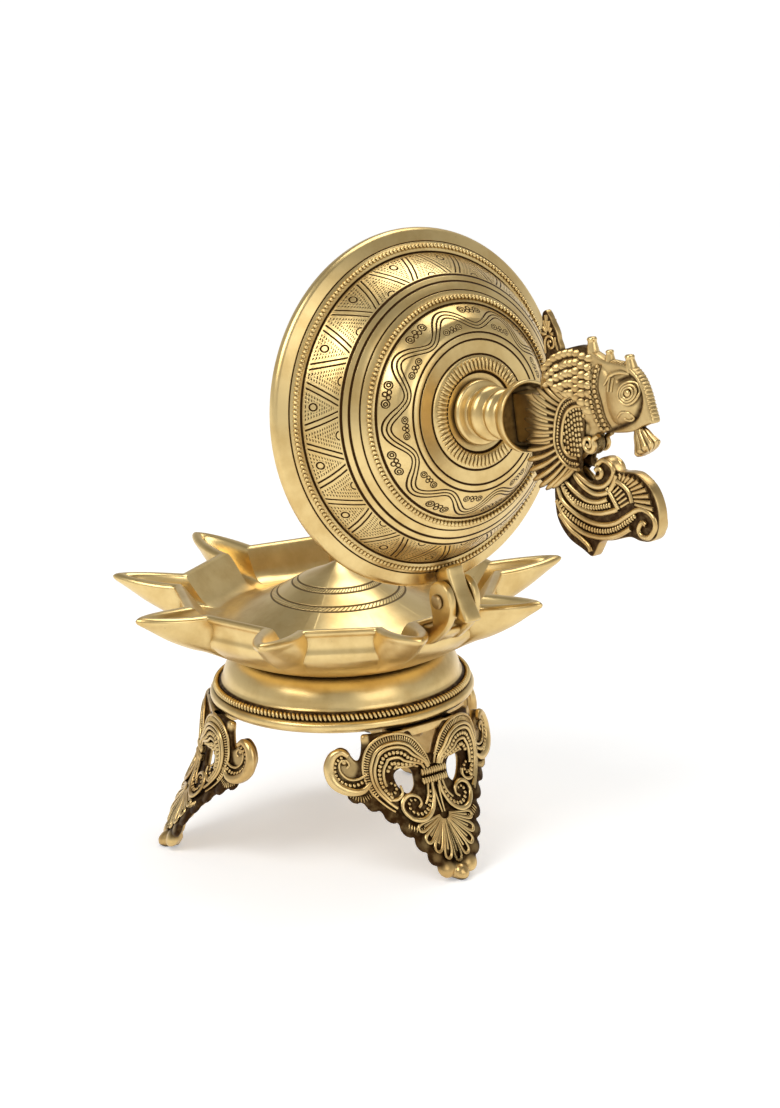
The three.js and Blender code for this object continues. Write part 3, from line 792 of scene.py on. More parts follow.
class Ridge:
    """Round wires that follow paths, as thick as the paths' gauge."""

    def __init__(self) -> None:
        """Builds the geometry tree once."""
        self.tree, source, out = geometry_tree("ridge", {"Thickness": 1.0})
        g = Graph(self.tree)
        line = g.node("GeometryNodeMeshToCurve", Mesh=source.outputs["Geometry"])
        gauge = g.node("GeometryNodeInputNamedAttribute", {"data_type": "FLOAT"}, Name="gauge")
        thick = g.node("ShaderNodeMath", {"operation": "MULTIPLY"})
        g.feed(thick.inputs[0], gauge.outputs[0])
        g.feed(thick.inputs[1], source.outputs["Thickness"])
        sized = g.node("GeometryNodeSetCurveRadius", Curve=line.outputs[0], Radius=thick.outputs[0])
        round_section = g.node("GeometryNodeCurvePrimitiveCircle", Resolution=10, Radius=1.0)
        wire = g.node("GeometryNodeCurveToMesh", Curve=sized.outputs[0],
                      Profile_Curve=round_section.outputs[0], Fill_Caps=True)
        if "Scale" in wire.inputs:
            g.feed(wire.inputs["Scale"], thick.outputs[0])
        end_tree(g, wire, source, out)

    def along(self, paths: Sequence[Path], thickness: float = 1.0) -> Shell:
        """Lays wires along paths.

        Args:
            paths: The lines to follow, whose gauge is half a wire's thickness.
            thickness: Factor on the gauge.

        Returns:
            The wires.
        """
        return run_tree(ornament_lines(paths), self.tree, {"Thickness": thickness})


def cast(shells: Sequence[Shell], voxel: float, smoothing: int) -> Shell:
    """Melts overlapping shells into one skin with soft inner corners.

    Args:
        shells: Closed shells that overlap.
        voxel: Finest detail that survives, in millimetres.
        smoothing: How many smoothing passes follow.

    Returns:
        The one skin.
    """
    whole = merged(shells)
    obj = scratch_object("casting", whole.points, faces=whole.faces)
    melt = obj.modifiers.new("melt", "REMESH")
    melt.mode = "VOXEL"
    melt.voxel_size = voxel
    soften = obj.modifiers.new("soften", "SMOOTH")
    soften.factor = 0.5
    soften.iterations = smoothing
    return evaluated(obj)


def fretwork(outlines: Sequence[Rows], low: float, high: float, bevel: float) -> Shell:
    """A plate with holes and rounded edges.

    Args:
        outlines: The plate's outline, then the outline of each hole, in x and y.
        low: Height of its underside.
        high: Height of its top.
        bevel: Size of the rounding along its edges.

    Returns:
        The plate as a closed shell.
    """
    curve = bpy.data.curves.new("fretwork", "CURVE")
    curve.dimensions = "2D"
    curve.fill_mode = "BOTH"
    curve.extrude = (high - low) / 2 - bevel
    curve.bevel_depth = bevel
    curve.bevel_resolution = 1
    curve.offset = -bevel
    for outline in outlines:
        line = curve.splines.new("POLY")
        line.points.add(len(outline) - 1)
        places = np.column_stack([outline, np.zeros(len(outline)), np.ones(len(outline))])
        line.points.foreach_set("co", places.ravel())
        line.use_cyclic_u = True
    drawn = bpy.data.objects.new("fretwork", curve)
    link(drawn)
    bpy.context.view_layer.update()
    mesh = bpy.data.meshes.new_from_object(drawn)
    bpy.data.objects.remove(drawn)
    bpy.data.curves.remove(curve)
    work = bmesh.new()
    work.from_mesh(mesh)
    bpy.data.meshes.remove(mesh)
    bmesh.ops.remove_doubles(work, verts=work.verts, dist=1e-4)
    bmesh.ops.recalc_face_normals(work, faces=work.faces)
    points = np.array([v.co for v in work.verts]) + np.array([0, 0, (low + high) / 2])
    faces = [tuple(v.index for v in f.verts) for f in work.faces]
    work.free()
    return Shell(points, faces)


@dataclass
class Piece:
    """A finished piece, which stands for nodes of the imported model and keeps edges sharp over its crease."""

    name: str
    shell: Shell
    place: Place
    body: Body
    nodes: tuple[str, ...]
    slot: str
    material: Material
    crease: float = 40.0

    def build(self) -> None:
        """Makes the piece's object, lets it ride on its body and hides what it stands for."""
        shell = self.shell.moved(self.place.matrix)
        mesh = bpy.data.meshes.new(self.name)
        mesh.from_pydata((shell.points * MM).tolist(), [], shell.faces)
        mesh.validate()
        mesh.polygons.foreach_set("use_smooth", [True] * len(mesh.polygons))
        mesh.set_sharp_from_angle(angle=radians(self.crease))
        mesh.materials.append(self.material)
        # The darkness for patina and painted shade goes to the material as a mesh attribute.
        if shell.patina_and_shade is not None:
            darkened = mesh.attributes.new("patina_and_shade", "FLOAT", "POINT")
            darkened.data.foreach_set("value", shell.patina_and_shade.astype(np.float32))
        obj = bpy.data.objects.new(self.name, mesh)
        link(obj)
        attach(obj, self.body.value)
        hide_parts(*self.nodes)
        log.info("%s: %d faces", self.name, len(mesh.polygons))


@dataclass
class Workshop:
    """The tools and finishes that every sub-assembly shares."""

    beads: StampRow
    ridge: Ridge
    polished: BrassFinish
    antique: BrassFinish
    dark: BrassFinish

    def bird_piece(self, name: str, drawing: Shell, node: str, flank: "Flank | None" = None) -> None:
        """Builds a piece of the bird from its flat drawing."""
        flat = drawing.moved((flank or Flank.RIGHT).matrix)
        Piece(name, flat, Place.LID, Body.LID, (node,), "antique_brass", self.antique.material(), 50).build()


# Bowl


@dataclass(frozen=True)
class BowlRow:
    """One closed line round the bowl, from which the next one is a step down or up.

    Attributes:
        radius: Distance of the flat panels from the axis.
        z: Height of the panels' line.
        square: How far the line is pulled from a circle to the nine-sided outline, nought to one.
        root: Half width of the spout where it leaves the panels.
        reach: Distance of the spout's end from the axis.
        end_z: Height of the spout's end.
    """

    radius: float
    z: float
    square: float = 0.0
    root: float = 3.0
    reach: float = 0.0
    end_z: float = 0.0


@dataclass
class Bowl:
    """The nine-spouted oil bowl with the cone in its floor and the hinge's ears."""

    cone_top: float = 112.0
    rim_z: float = 103.3
    panel_radius: float = 61.0
    tip_radius: float = 89.4
    tip_z: float = 105.6
    ear_half_gap: float = 4.2
    ear_thickness: float = 3.2

    def rows(self) -> list[BowlRow]:
        """The lines that the bowl's skin runs over, from the cone's top to its foot.

        Returns:
            The rows.
        """
        rim, panel, tip, tip_z = self.rim_z, self.panel_radius, self.tip_radius, self.tip_z
        plain = [(0.6, self.cone_top), (2.2, self.cone_top - 0.7), (5, self.cone_top - 2.2), (14, 106.2),
                 (20, 102.8), (26, 99.4), (32, 96.6), (38, 94), (43, 91.9), (46, 91.1)]
        inside = [BowlRow(r, z, 0, max(r * 0.06, 0.03), r, z) for r, z in plain]
        inside += [BowlRow(*row) for row in (
            (48.6, 91, 0.2, 2.5, 50.5, 91.3),
            (50.6, 92, 0.8, 2.7, 56, 91.9),
            (52.6, 94.2, 1, 3, 62, 92.6),
            (54.8, 97.2, 1, 3.4, 68.5, 94.6),
            (56.9, 100.2, 1, 3.9, 75.3, 98),
            (58.5, 102.3, 1, 4.5, 80.8, 102.2),
            (59.3, rim - 0.1, 1, 5.1, 83.2, 104.7),
            (60.1, rim + 0.3, 1, 6.2, 85.2, tip_z),
            (panel + 0.8, rim + 0.2, 1, 8.0, tip - 1.4, tip_z + 0.1),
            (panel + 1.5, rim - 0.7, 1, 8.9, tip, tip_z - 0.9),
            (panel + 1.2, rim - 1.7, 1, 8.9, tip - 0.6, tip_z - 2.2),
            (panel + 0.2, rim - 2.6, 1, 9.0, 85.9, 101.3),
        )]
        outside = [BowlRow(*row) for row in (
            (panel - 0.5, 98.4, 1, 9.1, 82.6, 99.0),
            (panel - 0.5, 95.6, 1, 8.8, 76.8, 94.9),
            (panel + 0.1, 93.2, 1, 8.2, 70.6, 91.3),
            (panel - 0.4, 91.0, 0.9, 7.4, 65.8, 88.9),
            (59, 88.6, 0.6, 6.4, 61.6, 87.3),
            (56, 85.7, 0.2, 5.2, 57, 85.1),
            (52, 82.8, 0, 4.6, 52, 82.6),
            (46, 79.8, 0, 4.4, 46, 79.8),
            (40.5, 77.7, 0, 4, 40.5, 77.7),
            (39, 77.35, 0, 4, 39, 77.35),
            (36, 77.35, 0, 4, 36, 77.35),
        )]
        return inside + outside

    def half_sector(self, row: BowlRow) -> Rows:
        """The row's points from a spout's middle line to the middle of the next panel.

        Args:
            row: The row.

        Returns:
            Points in a frame whose x runs along the spout.
        """
        half = pi / SPOUT_COUNT
        slide = (row.radius * sin(half) - row.root) / cos(half)
        corner = np.array([row.radius * cos(half) + slide * sin(half), row.root])
        arc_corner = np.array([sqrt(max(row.radius**2 - row.root**2, 0)), row.root])
        corner = arc_corner + (corner - arc_corner) * row.square
        reach = max(row.reach, corner[0] + 1e-3)
        out = reach - corner[0]
        points = []
        for t in np.linspace(0, 1, 13):
            u = cos(t * pi / 2) ** 1.3
            width = (1 - u**1.9) ** 0.72
            points.append((corner[0] + out * u, row.root * width, row.z + (row.end_z - row.z) * u**1.35))
        start = atan2(corner[1], corner[0])
        middle = np.array([cos(half), sin(half)]) * row.radius
        for t in np.linspace(0, 1, 9)[1:] ** 1.25:
            straight = corner + (middle - corner) * t
            angle = start + (half - start) * t
            arc = np.array([cos(angle), sin(angle)]) * row.radius
            flat = arc + (straight - arc) * row.square
            points.append((flat[0], flat[1], row.z))
        return np.array(points)

    def dish(self) -> Shell:
        """The bowl's skin, closed under its floor.

        Returns:
            The dish.
        """
        table = self.rows()
        keys = np.array([[r.radius, r.z, r.square, r.root, r.reach, r.end_z] for r in table])
        run = np.concatenate([[0], np.cumsum(np.hypot(*np.diff(keys[:, :2], axis=0).T) + 0.4)])
        steps = []
        for a, b in zip(run[:-1], run[1:]):
            steps.extend(np.linspace(a, b, max(2, int((b - a) / 0.9)), endpoint=False))
        steps.append(run[-1])
        tangent = np.gradient(keys, run, axis=0)
        rings = []
        for s in steps:
            k = min(int(np.searchsorted(run, s, side="right")) - 1, len(run) - 2)
            h = run[k + 1] - run[k]
            t = (s - run[k]) / h
            shares = (2 * t**3 - 3 * t**2 + 1, t**3 - 2 * t**2 + t, 3 * t**2 - 2 * t**3, t**3 - t**2)
            parts = (keys[k], h * tangent[k], keys[k + 1], h * tangent[k + 1])
            rings.append(self.ring(BowlRow(*sum(share * part for share, part in zip(shares, parts)))))
        return skin(np.array(rings)[::-1])

    def ring(self, row: BowlRow) -> Rows:
        """A row's points all the way round.

        Args:
            row: The row.

        Returns:
            Its points.
        """
        half = self.half_sector(row)
        mirror = half[::-1] * np.array([1, -1, 1])
        sector = np.vstack([mirror[1:-1], half])
        points = []
        for i in range(SPOUT_COUNT):
            turn = radians(20 + SPOUT_PHASE + i * 360 / SPOUT_COUNT)
            c, s = cos(turn), sin(turn)
            points.append(sector @ np.array([[c, s, 0], [-s, c, 0], [0, 0, 1]]))
        return np.vstack(points)

    def ear(self, side: int) -> Shell:
        """One cheek of the hinge's fork.

        Args:
            side: One for the ear on the y side, or minus one.

        Returns:
            The ear.
        """
        outline = spline([(61, 94.5), (61.4, 101), (65.4, 102.2), (68.5, 103.4), (68.2, 108), (67, 113.5),
                          (68, 118.4), (72.6, 121.4), (77.8, 119.4), (80.3, 114), (79.4, 107.6),
                          (76.2, 102.6), (71.8, 98.6), (67, 95.2)], 60, True)
        plate = slab(outline, 0, self.ear_thickness, 0.9)
        low = self.ear_half_gap if side > 0 else -self.ear_half_gap - self.ear_thickness
        return plate.warped(lambda p: np.column_stack([p[:, 0], -p[:, 2], p[:, 1]])).moved(
            Matrix.Translation((0, low + self.ear_thickness, 0)))

    def web(self) -> Shell:
        """The block between the ears that stops the open lid."""
        outline = spline([(60.4, 94.8), (60.4, 101.2), (65, 101.5), (70.6, 101.2), (71.2, 99.2), (68, 96.4),
                          (64, 94.4)], 36, True)
        plate = slab(outline, -self.ear_half_gap - 1, self.ear_half_gap + 1, 0.4)
        return plate.warped(lambda p: np.column_stack([p[:, 0], -p[:, 2], p[:, 1]]))

    @staticmethod
    def engraving() -> Engraving:
        """Two hatched rings between double lines on the cone.

        Returns:
            The engraving.
        """

        def drawing(angle: Signal, radius: Signal) -> Signal:
            """All the cone's lines together.

            Args:
                angle: Degrees round the axis.
                radius: Millimetres from the axis.

            Returns:
                The cut.
            """
            cut = radius.line(23.8, 0.34, 0.14)
            for r in (26.2, 15.6, 17.8):
                cut = cut.or_more(radius.line(r, 0.34, 0.14))
            hatch = (angle + radius * 2.6).cell(4.0).line(0.0, 0.42, 0.3)
            zones = radius.band(24.1, 25.9, 0.1) + radius.band(15.9, 17.5, 0.1)
            return cut.or_more(hatch * zones * 0.9)

        return Engraving(Place.LAMP, drawing, depth=0.2, darkness=0.85)

    def build(self, shop: Workshop) -> None:
        """Builds and dresses the bowl."""
        shell = merged([self.dish(), self.ear(1), self.ear(-1), self.web()])
        Piece("bowl_dressed", shell, Place.LAMP, Body.BASE, ("oil_bowl",), "polished_brass",
              shop.polished.material(self.engraving()), 46).build()


# Pedestal


@dataclass
class Pedestal:
    """The turned bell with its rolled lip and rope bead."""

    lip_z: float = 58.2
    seat_z: float = 77.0
    rope_radius: float = 49.4
    rope_z: float = 64.3

    def section(self) -> list[Pair]:
        """The bell's section from the inner edge of its lip, round the outside, and back inside.

        Returns:
            The section's corners.
        """
        outer = [(42, self.lip_z), (50.2, self.lip_z), (51.9, 60), (51.6, 62), (50.2, 62.9), (48.9, 63.2),
                 (48.3, 64.4), (47.9, 65.6), (47.2, 66), (46.6, 67), (46, 69.6), (44.9, 72.2),
                 (43, 74.8), (40.6, 76.6), (39.2, self.seat_z), (4.6, self.seat_z)]
        inner = [(4.6, 73.8), (34, 73.6), (39, 71.6), (41.6, 68), (42, 62)]
        return [*rounded(outer, 1.4, 4), *rounded(inner, 1.2)]

    def groove(self, points: Rows) -> Rows:
        """Patina in the groove that the rope bead lies in."""
        up = points[:, 2] - self.rope_z
        outside = ramp(points[:, 0] ** 2 + points[:, 1] ** 2, 45**2, 46**2)
        return ramp(up, -1.9, -1.3) * (1 - ramp(up, 1.5, 2.1)) * outside

    def build(self, shop: Workshop) -> None:
        """Builds and dresses the pedestal.

        Args:
            shop: Tools and finishes.
        """
        bell = lathe(self.section(), 256, closed=True).darkened(self.groove)
        strand = Path.ring(self.rope_radius, self.rope_z, 1.12, 62)
        rope = shop.beads.along([strand], 1.75, 0.64, 1.35, 0.95, 24)
        Piece("pedestal_dressed", merged([bell, rope]), Place.LAMP, Body.BASE, ("pedestal",),
              "polished_brass", shop.polished.material()).build()


# Legs


@dataclass
class Leg:
    """One openwork leg, drawn unrolled: x runs round the shield, y is the height and z its depth.

    Attributes:
        thickness: Depth of the shield from its back to its highest relief.
        face: Depth of the shield's plain face, from which the relief stands up.
        seat_z: Height where the leg meets the pedestal's lip.
        lean: Height and radius pairs that the shield's face follows from the toe up.
    """

    thickness: float = 4.2
    face: float = 2.9
    seat_z: float = 57.9
    lean: Pairs = ((0, 74.4), (11.4, 70.2), (20, 65.4), (29, 60.6), (36, 57.8), (44, 56.3), (58, 54.6))

    def wrap(self, points: Rows) -> Rows:
        """Rolls flat points round the pedestal's axis and leans them out to the toe.

        Args:
            points: Points of the flat drawing.

        Returns:
            The points in the lamp's frame.
        """
        table = spline(self.lean, 200)
        z = points[:, 1]
        outer = np.interp(z, table[:, 0], table[:, 1])
        toe_swell = 1 + 0.7 * ramp(-z, -16, 0)
        r = outer + (points[:, 2] - self.thickness) * toe_swell
        angle = points[:, 0] / outer
        return np.column_stack([r * np.cos(angle), r * np.sin(angle), z])

    def silhouette(self) -> list[Rows]:
        """The shield's outline and the two eyes cut through it.

        Returns:
            The outline, then both eyes.
        """
        half = [(0, 0.2), (3.6, 1), (6.6, 3.8), (8.2, 7.4), (10.6, 9.4), (11.8, 13.4), (14.6, 16),
                (16.2, 20.2), (19.4, 22.4), (21.2, 26.2), (24.8, 27.8), (27.4, 31), (31.6, 32),
                (34.2, 35.8), (38.4, 37.8), (42, 41), (43.2, 45.8), (41.4, 50.4), (37.6, 53.2),
                (34.2, 52.2), (32.8, 49.6), (30.8, 47.6), (29.2, 50.2), (28.4, 54), (28, 57.6), (24, 57.9),
                (10, 57.9), (6.6, 54.6), (3.4, 50.2), (1.4, 46)]
        right = spline(half, 120)
        left = right[::-1] * np.array([-1, 1])
        eye = spline([(12.7, 43.4), (16.4, 41.8), (16.4, 38.6), (14.8, 35.4), (11.6, 33), (8.6, 35.2),
                      (8.2, 39.4), (9.6, 42.4)], 40, True)
        return [np.vstack([right, left[1:-1]]), eye, eye * np.array([-1, 1])]

    def master(self) -> Rows:
        """The outer edge of the big scroll from the tie, over the arch and down into the shield."""
        return spline([(1, 43), (2.4, 47.4), (5.6, 53), (9.8, 56.4), (15.2, 57.8), (21.4, 57),
                       (26.4, 53.6), (29, 48), (29.2, 42), (27.2, 36), (23.2, 31), (19, 27.4)], 160)

    def along_scroll(self, inset: float, gauge: Gauge, depth: float, start: float = 0.0,
                     end: float = 1.0) -> Path:
        """A line beside the big scroll's outer edge, which draws in towards the scroll's lower end.

        Args:
            inset: Distance from the outer edge over the arch.
            gauge: Half width of the ornament along the line.
            depth: Depth that it stands at.
            start: Where it starts, as a share of the scroll.
            end: Where it ends.

        Returns:
            The path.
        """
        line = self.master()
        run = np.linspace(0, 1, len(line))
        ahead = np.gradient(line, axis=0)
        inward = np.column_stack([ahead[:, 1], -ahead[:, 0]])
        inward /= np.linalg.norm(inward, axis=1)[:, None]
        taper = (0.34 + 0.66 * ramp(run, 0, 0.16)) * (1 - 0.5 * np.clip((run - 0.6) / 0.4, 0, 1))
        moved = line + inward * (inset * taper)[:, None]
        kept = moved[(run >= start) & (run <= end)]
        return Path.flat(kept[::4], gauge, depth)

    def wires(self) -> list[Path]:
        """Smooth lines of the right half's relief.

        Returns:
            The lines.
        """
        f = self.face
        lines = [
            self.along_scroll(0.4, 0.5, f + 0.5),
            self.along_scroll(3.7, 0.62, f + 1.3),
            self.along_scroll(5.3, 0.62, f + 1.4, 0.0, 0.95),
            self.along_scroll(9.4, 0.6, f + 1.0, 0.0, 0.86),
            self.along_scroll(13.9, 0.5, f + 0.4, 0.02, 0.6),
            Path.flat([(24.6, 42.4), (24, 37), (21.2, 33.2), (17.6, 32.6), (15, 34.4), (15.2, 37.2)],
                      [0.4, 0.7, 0.6, 0.45], f + 1.0),
            Path.flat([(1.6, 36.2), (2.2, 31.4), (4.6, 26.8), (8.8, 24.2), (13.4, 24.8), (16.4, 28.2),
                       (15.8, 31.6), (12.6, 33.4), (9.2, 32.2), (8.4, 29.8), (10, 28.4)],
                      [0.6, 0.75, 0.8, 0.7, 0.4], f + 1.1),
            Path.flat([(3.4, 36.2), (4.6, 31.6), (6.6, 29)], [0.5, 0.4], f + 0.9),
            Path.flat([(26.4, 39.6), (30.6, 36.9), (36, 37.4), (40.6, 40.4), (42, 45.6), (40.2, 50.4),
                       (36.8, 52.2), (34.2, 50.6)], [0.7, 1.2, 1.9, 2.2, 2.0, 1.5, 0.9], f + 0.6),
            Path.flat([(27.6, 43.2), (31.2, 41.6), (35, 41.8), (37.6, 44.4), (37.8, 48), (35.4, 49.2),
                       (34, 47.4), (35.2, 46)], [0.4, 0.45, 0.45, 0.4], f + 0.9),
            Path.flat([(1.4, 34.8), (0.9, 30), (0.6, 25)], [0.5, 0.35], f + 0.8),
        ]
        return lines + self.fan()

    def fan(self) -> list[Path]:
        """Looped leaves that spread from under the tie towards the toe, for the right half.

        Returns:
            The leaves' lines.
        """
        f = self.face
        leaves = []
        for lean, reach, wide in ((0, 15.6, 1.5), (17, 14.6, 1.5), (35, 13.4, 1.5), (54, 12.6, 1.4),
                                  (74, 12.0, 1.3)):
            turn = radians(lean)
            way, side = (sin(turn), -cos(turn)), (cos(turn), sin(turn))
            root = (1.2 * sin(turn), 24.6 - 1.2 * cos(turn))

            def at(along: float, across: float) -> Pair:
                """A point of the leaf from its root."""
                return tuple(root[i] + way[i] * along + side[i] * across for i in (0, 1))

            near = [(1, 0.15), (reach * 0.5, wide * 0.62), (reach * 0.85, wide), (reach, wide * 0.55)]
            loop = [at(*q) for q in near] + [at(along, -across) for along, across in near[::-1]]
            leaves.append(Path.flat(loop, [0.3, 0.42, 0.55, 0.42, 0.3], f + 0.75))
            leaves.append(Path.flat([at(3, 0), at(reach * 0.8, 0)], [0.25, 0.5], f + 0.45))
        return leaves

    def bead_lines(self) -> list[Path]:
        """Lines of beads of the right half's relief.

        Returns:
            The lines.
        """
        f = self.face
        return [
            self.along_scroll(7.4, 0.95, f + 1.1, 0.04, 0.93),
            self.along_scroll(11.7, 0.95, f + 0.6, 0.06, 0.72),
            Path.flat([(22.6, 38.2), (20.6, 35.2), (17.8, 34.9), (16.9, 37.2), (18.6, 38.6)],
                      [0.8, 0.7, 0.6], f + 0.7),
            Path.flat([(3.2, 33), (4.6, 29), (7.4, 26.4), (11, 26.2), (13.6, 28.4), (12.9, 31.2), (10.6, 31.2)],
                      [0.75, 0.8, 0.7, 0.6], f + 0.8),
            Path.flat([(28.6, 40.9), (32.6, 39.3), (36.6, 40.1), (39.6, 43.4), (39.4, 47.8), (36.8, 50.2)],
                      [0.75, 0.85, 0.75], f + 1.0),
        ]

    def ribbed_lines(self) -> list[Path]:
        """Lines of close cross ribs of the right half's relief.

        Returns:
            The lines.
        """
        f = self.face
        return [
            self.along_scroll(2.0, 1.0, f + 0.5, 0.05, 0.88),
            Path.flat([(27, 35.2), (31, 33.9), (35.2, 35.4)], [0.7, 0.9, 0.6], f + 0.4),
            Path.flat([(16.4, 22.6), (13.2, 20.8), (10.6, 20.4)], [0.8, 0.7], f + 0.4),
        ]

    def lobes(self) -> list[Shell]:
        """The polished round lobes along the edge of the right half and the toe.

        Returns:
            The lobes.
        """
        balls = [(33.6, 35.2, 3.3, 1.1), (27.4, 32.0, 3.5, 1.1), (21.4, 27.4, 3.6, 1.2),
                 (16.6, 21.8, 3.6, 1.2), (12.6, 16.0, 3.7, 1.3), (9.2, 10.4, 3.8, 1.4),
                 (5.6, 5.4, 4.0, 1.8), (36.0, 48.4, 1.5, 2.0)]
        shells = []
        for x, z, size, rise in balls:
            section = [(size * sin(t), -rise * cos(t)) for t in np.linspace(0, pi, 10)]
            section[0], section[-1] = (0, -rise), (0, rise)
            shells.append(lathe(section, 20).moved(Matrix.Translation((x, z, self.face - 0.4))))
        return shells

    def build(self, shop: Workshop) -> None:
        """Builds and dresses the three legs.

        Args:
            shop: Tools and finishes.
        """
        plate = fretwork(self.silhouette(), 0.2, self.face, 0.5)
        toe = lathe([(0, -3.1), (2.4, -2.4), (3.6, -0.8), (3.6, 0.9), (2.4, 2.5), (0, 3.2)], 20)
        toe = toe.moved(Matrix.Translation((0, 3.3, self.face - 0.6)))
        right = self.lobes()
        swell = shop.ridge.along([self.along_scroll(4.4, [2.6, 4.2, 4.4, 3.6, 2.0], 0.0, 0.03, 0.97)])
        swell = swell.warped(lambda p: p * np.array([1, 1, 0.34]) + np.array([0, 0, self.face - 0.35]))
        right.append(swell)
        body = cast([plate, toe, *right, *(shell.mirrored(0) for shell in right)], 0.5, 3).darkened(self.darkness)
        relief = [shop.ridge.along(self.wires(), 1.12),
                  shop.beads.along(self.bead_lines(), 1.62, 0.95, 1.0, 0.95),
                  shop.beads.along(self.ribbed_lines(), 0.95, 0.42, 1.55, 0.8)]
        heights = (37.3, 40.7)
        tie = shop.beads.along([Path.flat([(-5.4, z), (5.4, z)], 1.0, self.face + 1.3) for z in heights],
                               1.05, 0.52, 1.5, 0.9)
        bars = shop.ridge.along([Path.flat([(-5.6, z), (5.6, z)], 1.3, self.face + 0.6) for z in heights])
        flat = merged([body, *relief, *(shell.mirrored(0) for shell in relief), tie, bars])
        flat.points[:, 1] = np.clip(flat.points[:, 1], 0.02, self.seat_z)
        whole = merged([flat.warped(self.wrap), self.tab()])
        material = shop.antique.material()
        for i, side in enumerate(("rear", "left", "right")):
            turn = Matrix.Rotation(radians(i * 360 / LEG_COUNT), 4, "Z")
            Piece(f"leg_{side}_dressed", whole.moved(turn), Place.LAMP, Body.BASE, (f"leg_{side}",),
                  "antique_brass", material).build()

    def darkness(self, points: Rows) -> Rows:
        """Patina on the shield's plain face, which leaves its lobes, curls and edges polished.

        Args:
            points: The points.

        Returns:
            The patina.
        """
        x, z, depth = np.abs(points[:, 0]), points[:, 1], points[:, 2]
        sunk = 1 - ramp(depth, self.face + 0.6, self.face + 1.6)
        curl = 1 - ramp(np.hypot(x - 36.4, z - 46.4), 4.4, 6.2)
        top = ramp(z, 54, 56) * ramp(x, 25, 26)
        low_toe = 1 - ramp(z, 4.5, 7.5)
        return sunk * (1 - curl * 0.6) * (1 - top) * (1 - low_toe) * ramp(depth, 0.6, 1.8)

    def tab(self) -> Shell:
        """The flat lug under the pedestal's lip that the leg's screw goes through."""
        corners = np.array([(42.8, -14), (44.4, -14.9), (52.4, -14.9), (52.4, 14.9), (44.4, 14.9), (42.8, 14)])
        turn = np.linspace(0, 2 * pi, 25)[:-1]
        hole = np.column_stack([46.4 + 2.3 * np.cos(turn), 2.3 * np.sin(turn)])
        return fretwork([corners, hole], 54.7, self.seat_z, 0.25)


# Lid and knob


@dataclass
class Hinge:
    """The lid's tongue between the bowl's ears, drawn thrown open, and the pin through them."""

    half_width: float = 3.7
    pin_radius: float = 2.0
    pin_half_length: float = 7.7
    outline: Pairs = ((-5.8, 9.4), (-4.8, 3), (-3.6, -2.6), (0.6, -4.6), (5.6, -5.8), (10.6, -7),
                      (12, -5.6), (8.2, 0.2), (4.8, 5.2), (2.8, 9.2), (0.6, 13))

    def build(self, shop: Workshop) -> None:
        """Builds and dresses the tongue and the pin.

        Args:
            shop: Tools and finishes.
        """
        upright = Matrix.Translation((HINGE_X, 0, HINGE_Z)) @ Matrix.Rotation(radians(90), 4, "X")
        strap = slab(spline(self.outline, 90, closed=True), -self.half_width, self.half_width, 0.9)
        Piece("hinge_tongue_dressed", strap.moved(upright), Place.LAMP, Body.LID, ("hinge_tongue",),
              "polished_brass", shop.polished.material()).build()
        end = self.pin_half_length
        half = [(self.pin_radius, end), (2.9, end), (2.9, end + 0.6), (2.2, end + 1.3), (0, end + 1.6)]
        section = [(0, -end - 1.6), *((r, -z) for r, z in half[-2::-1]), *half]
        pin = lathe(rounded(section, 0.3), 40)
        Piece("hinge_pin_dressed", pin.moved(upright), Place.LAMP, Body.BASE, ("hinge_pin",),
              "fastener_brass", shop.dark.material()).build()


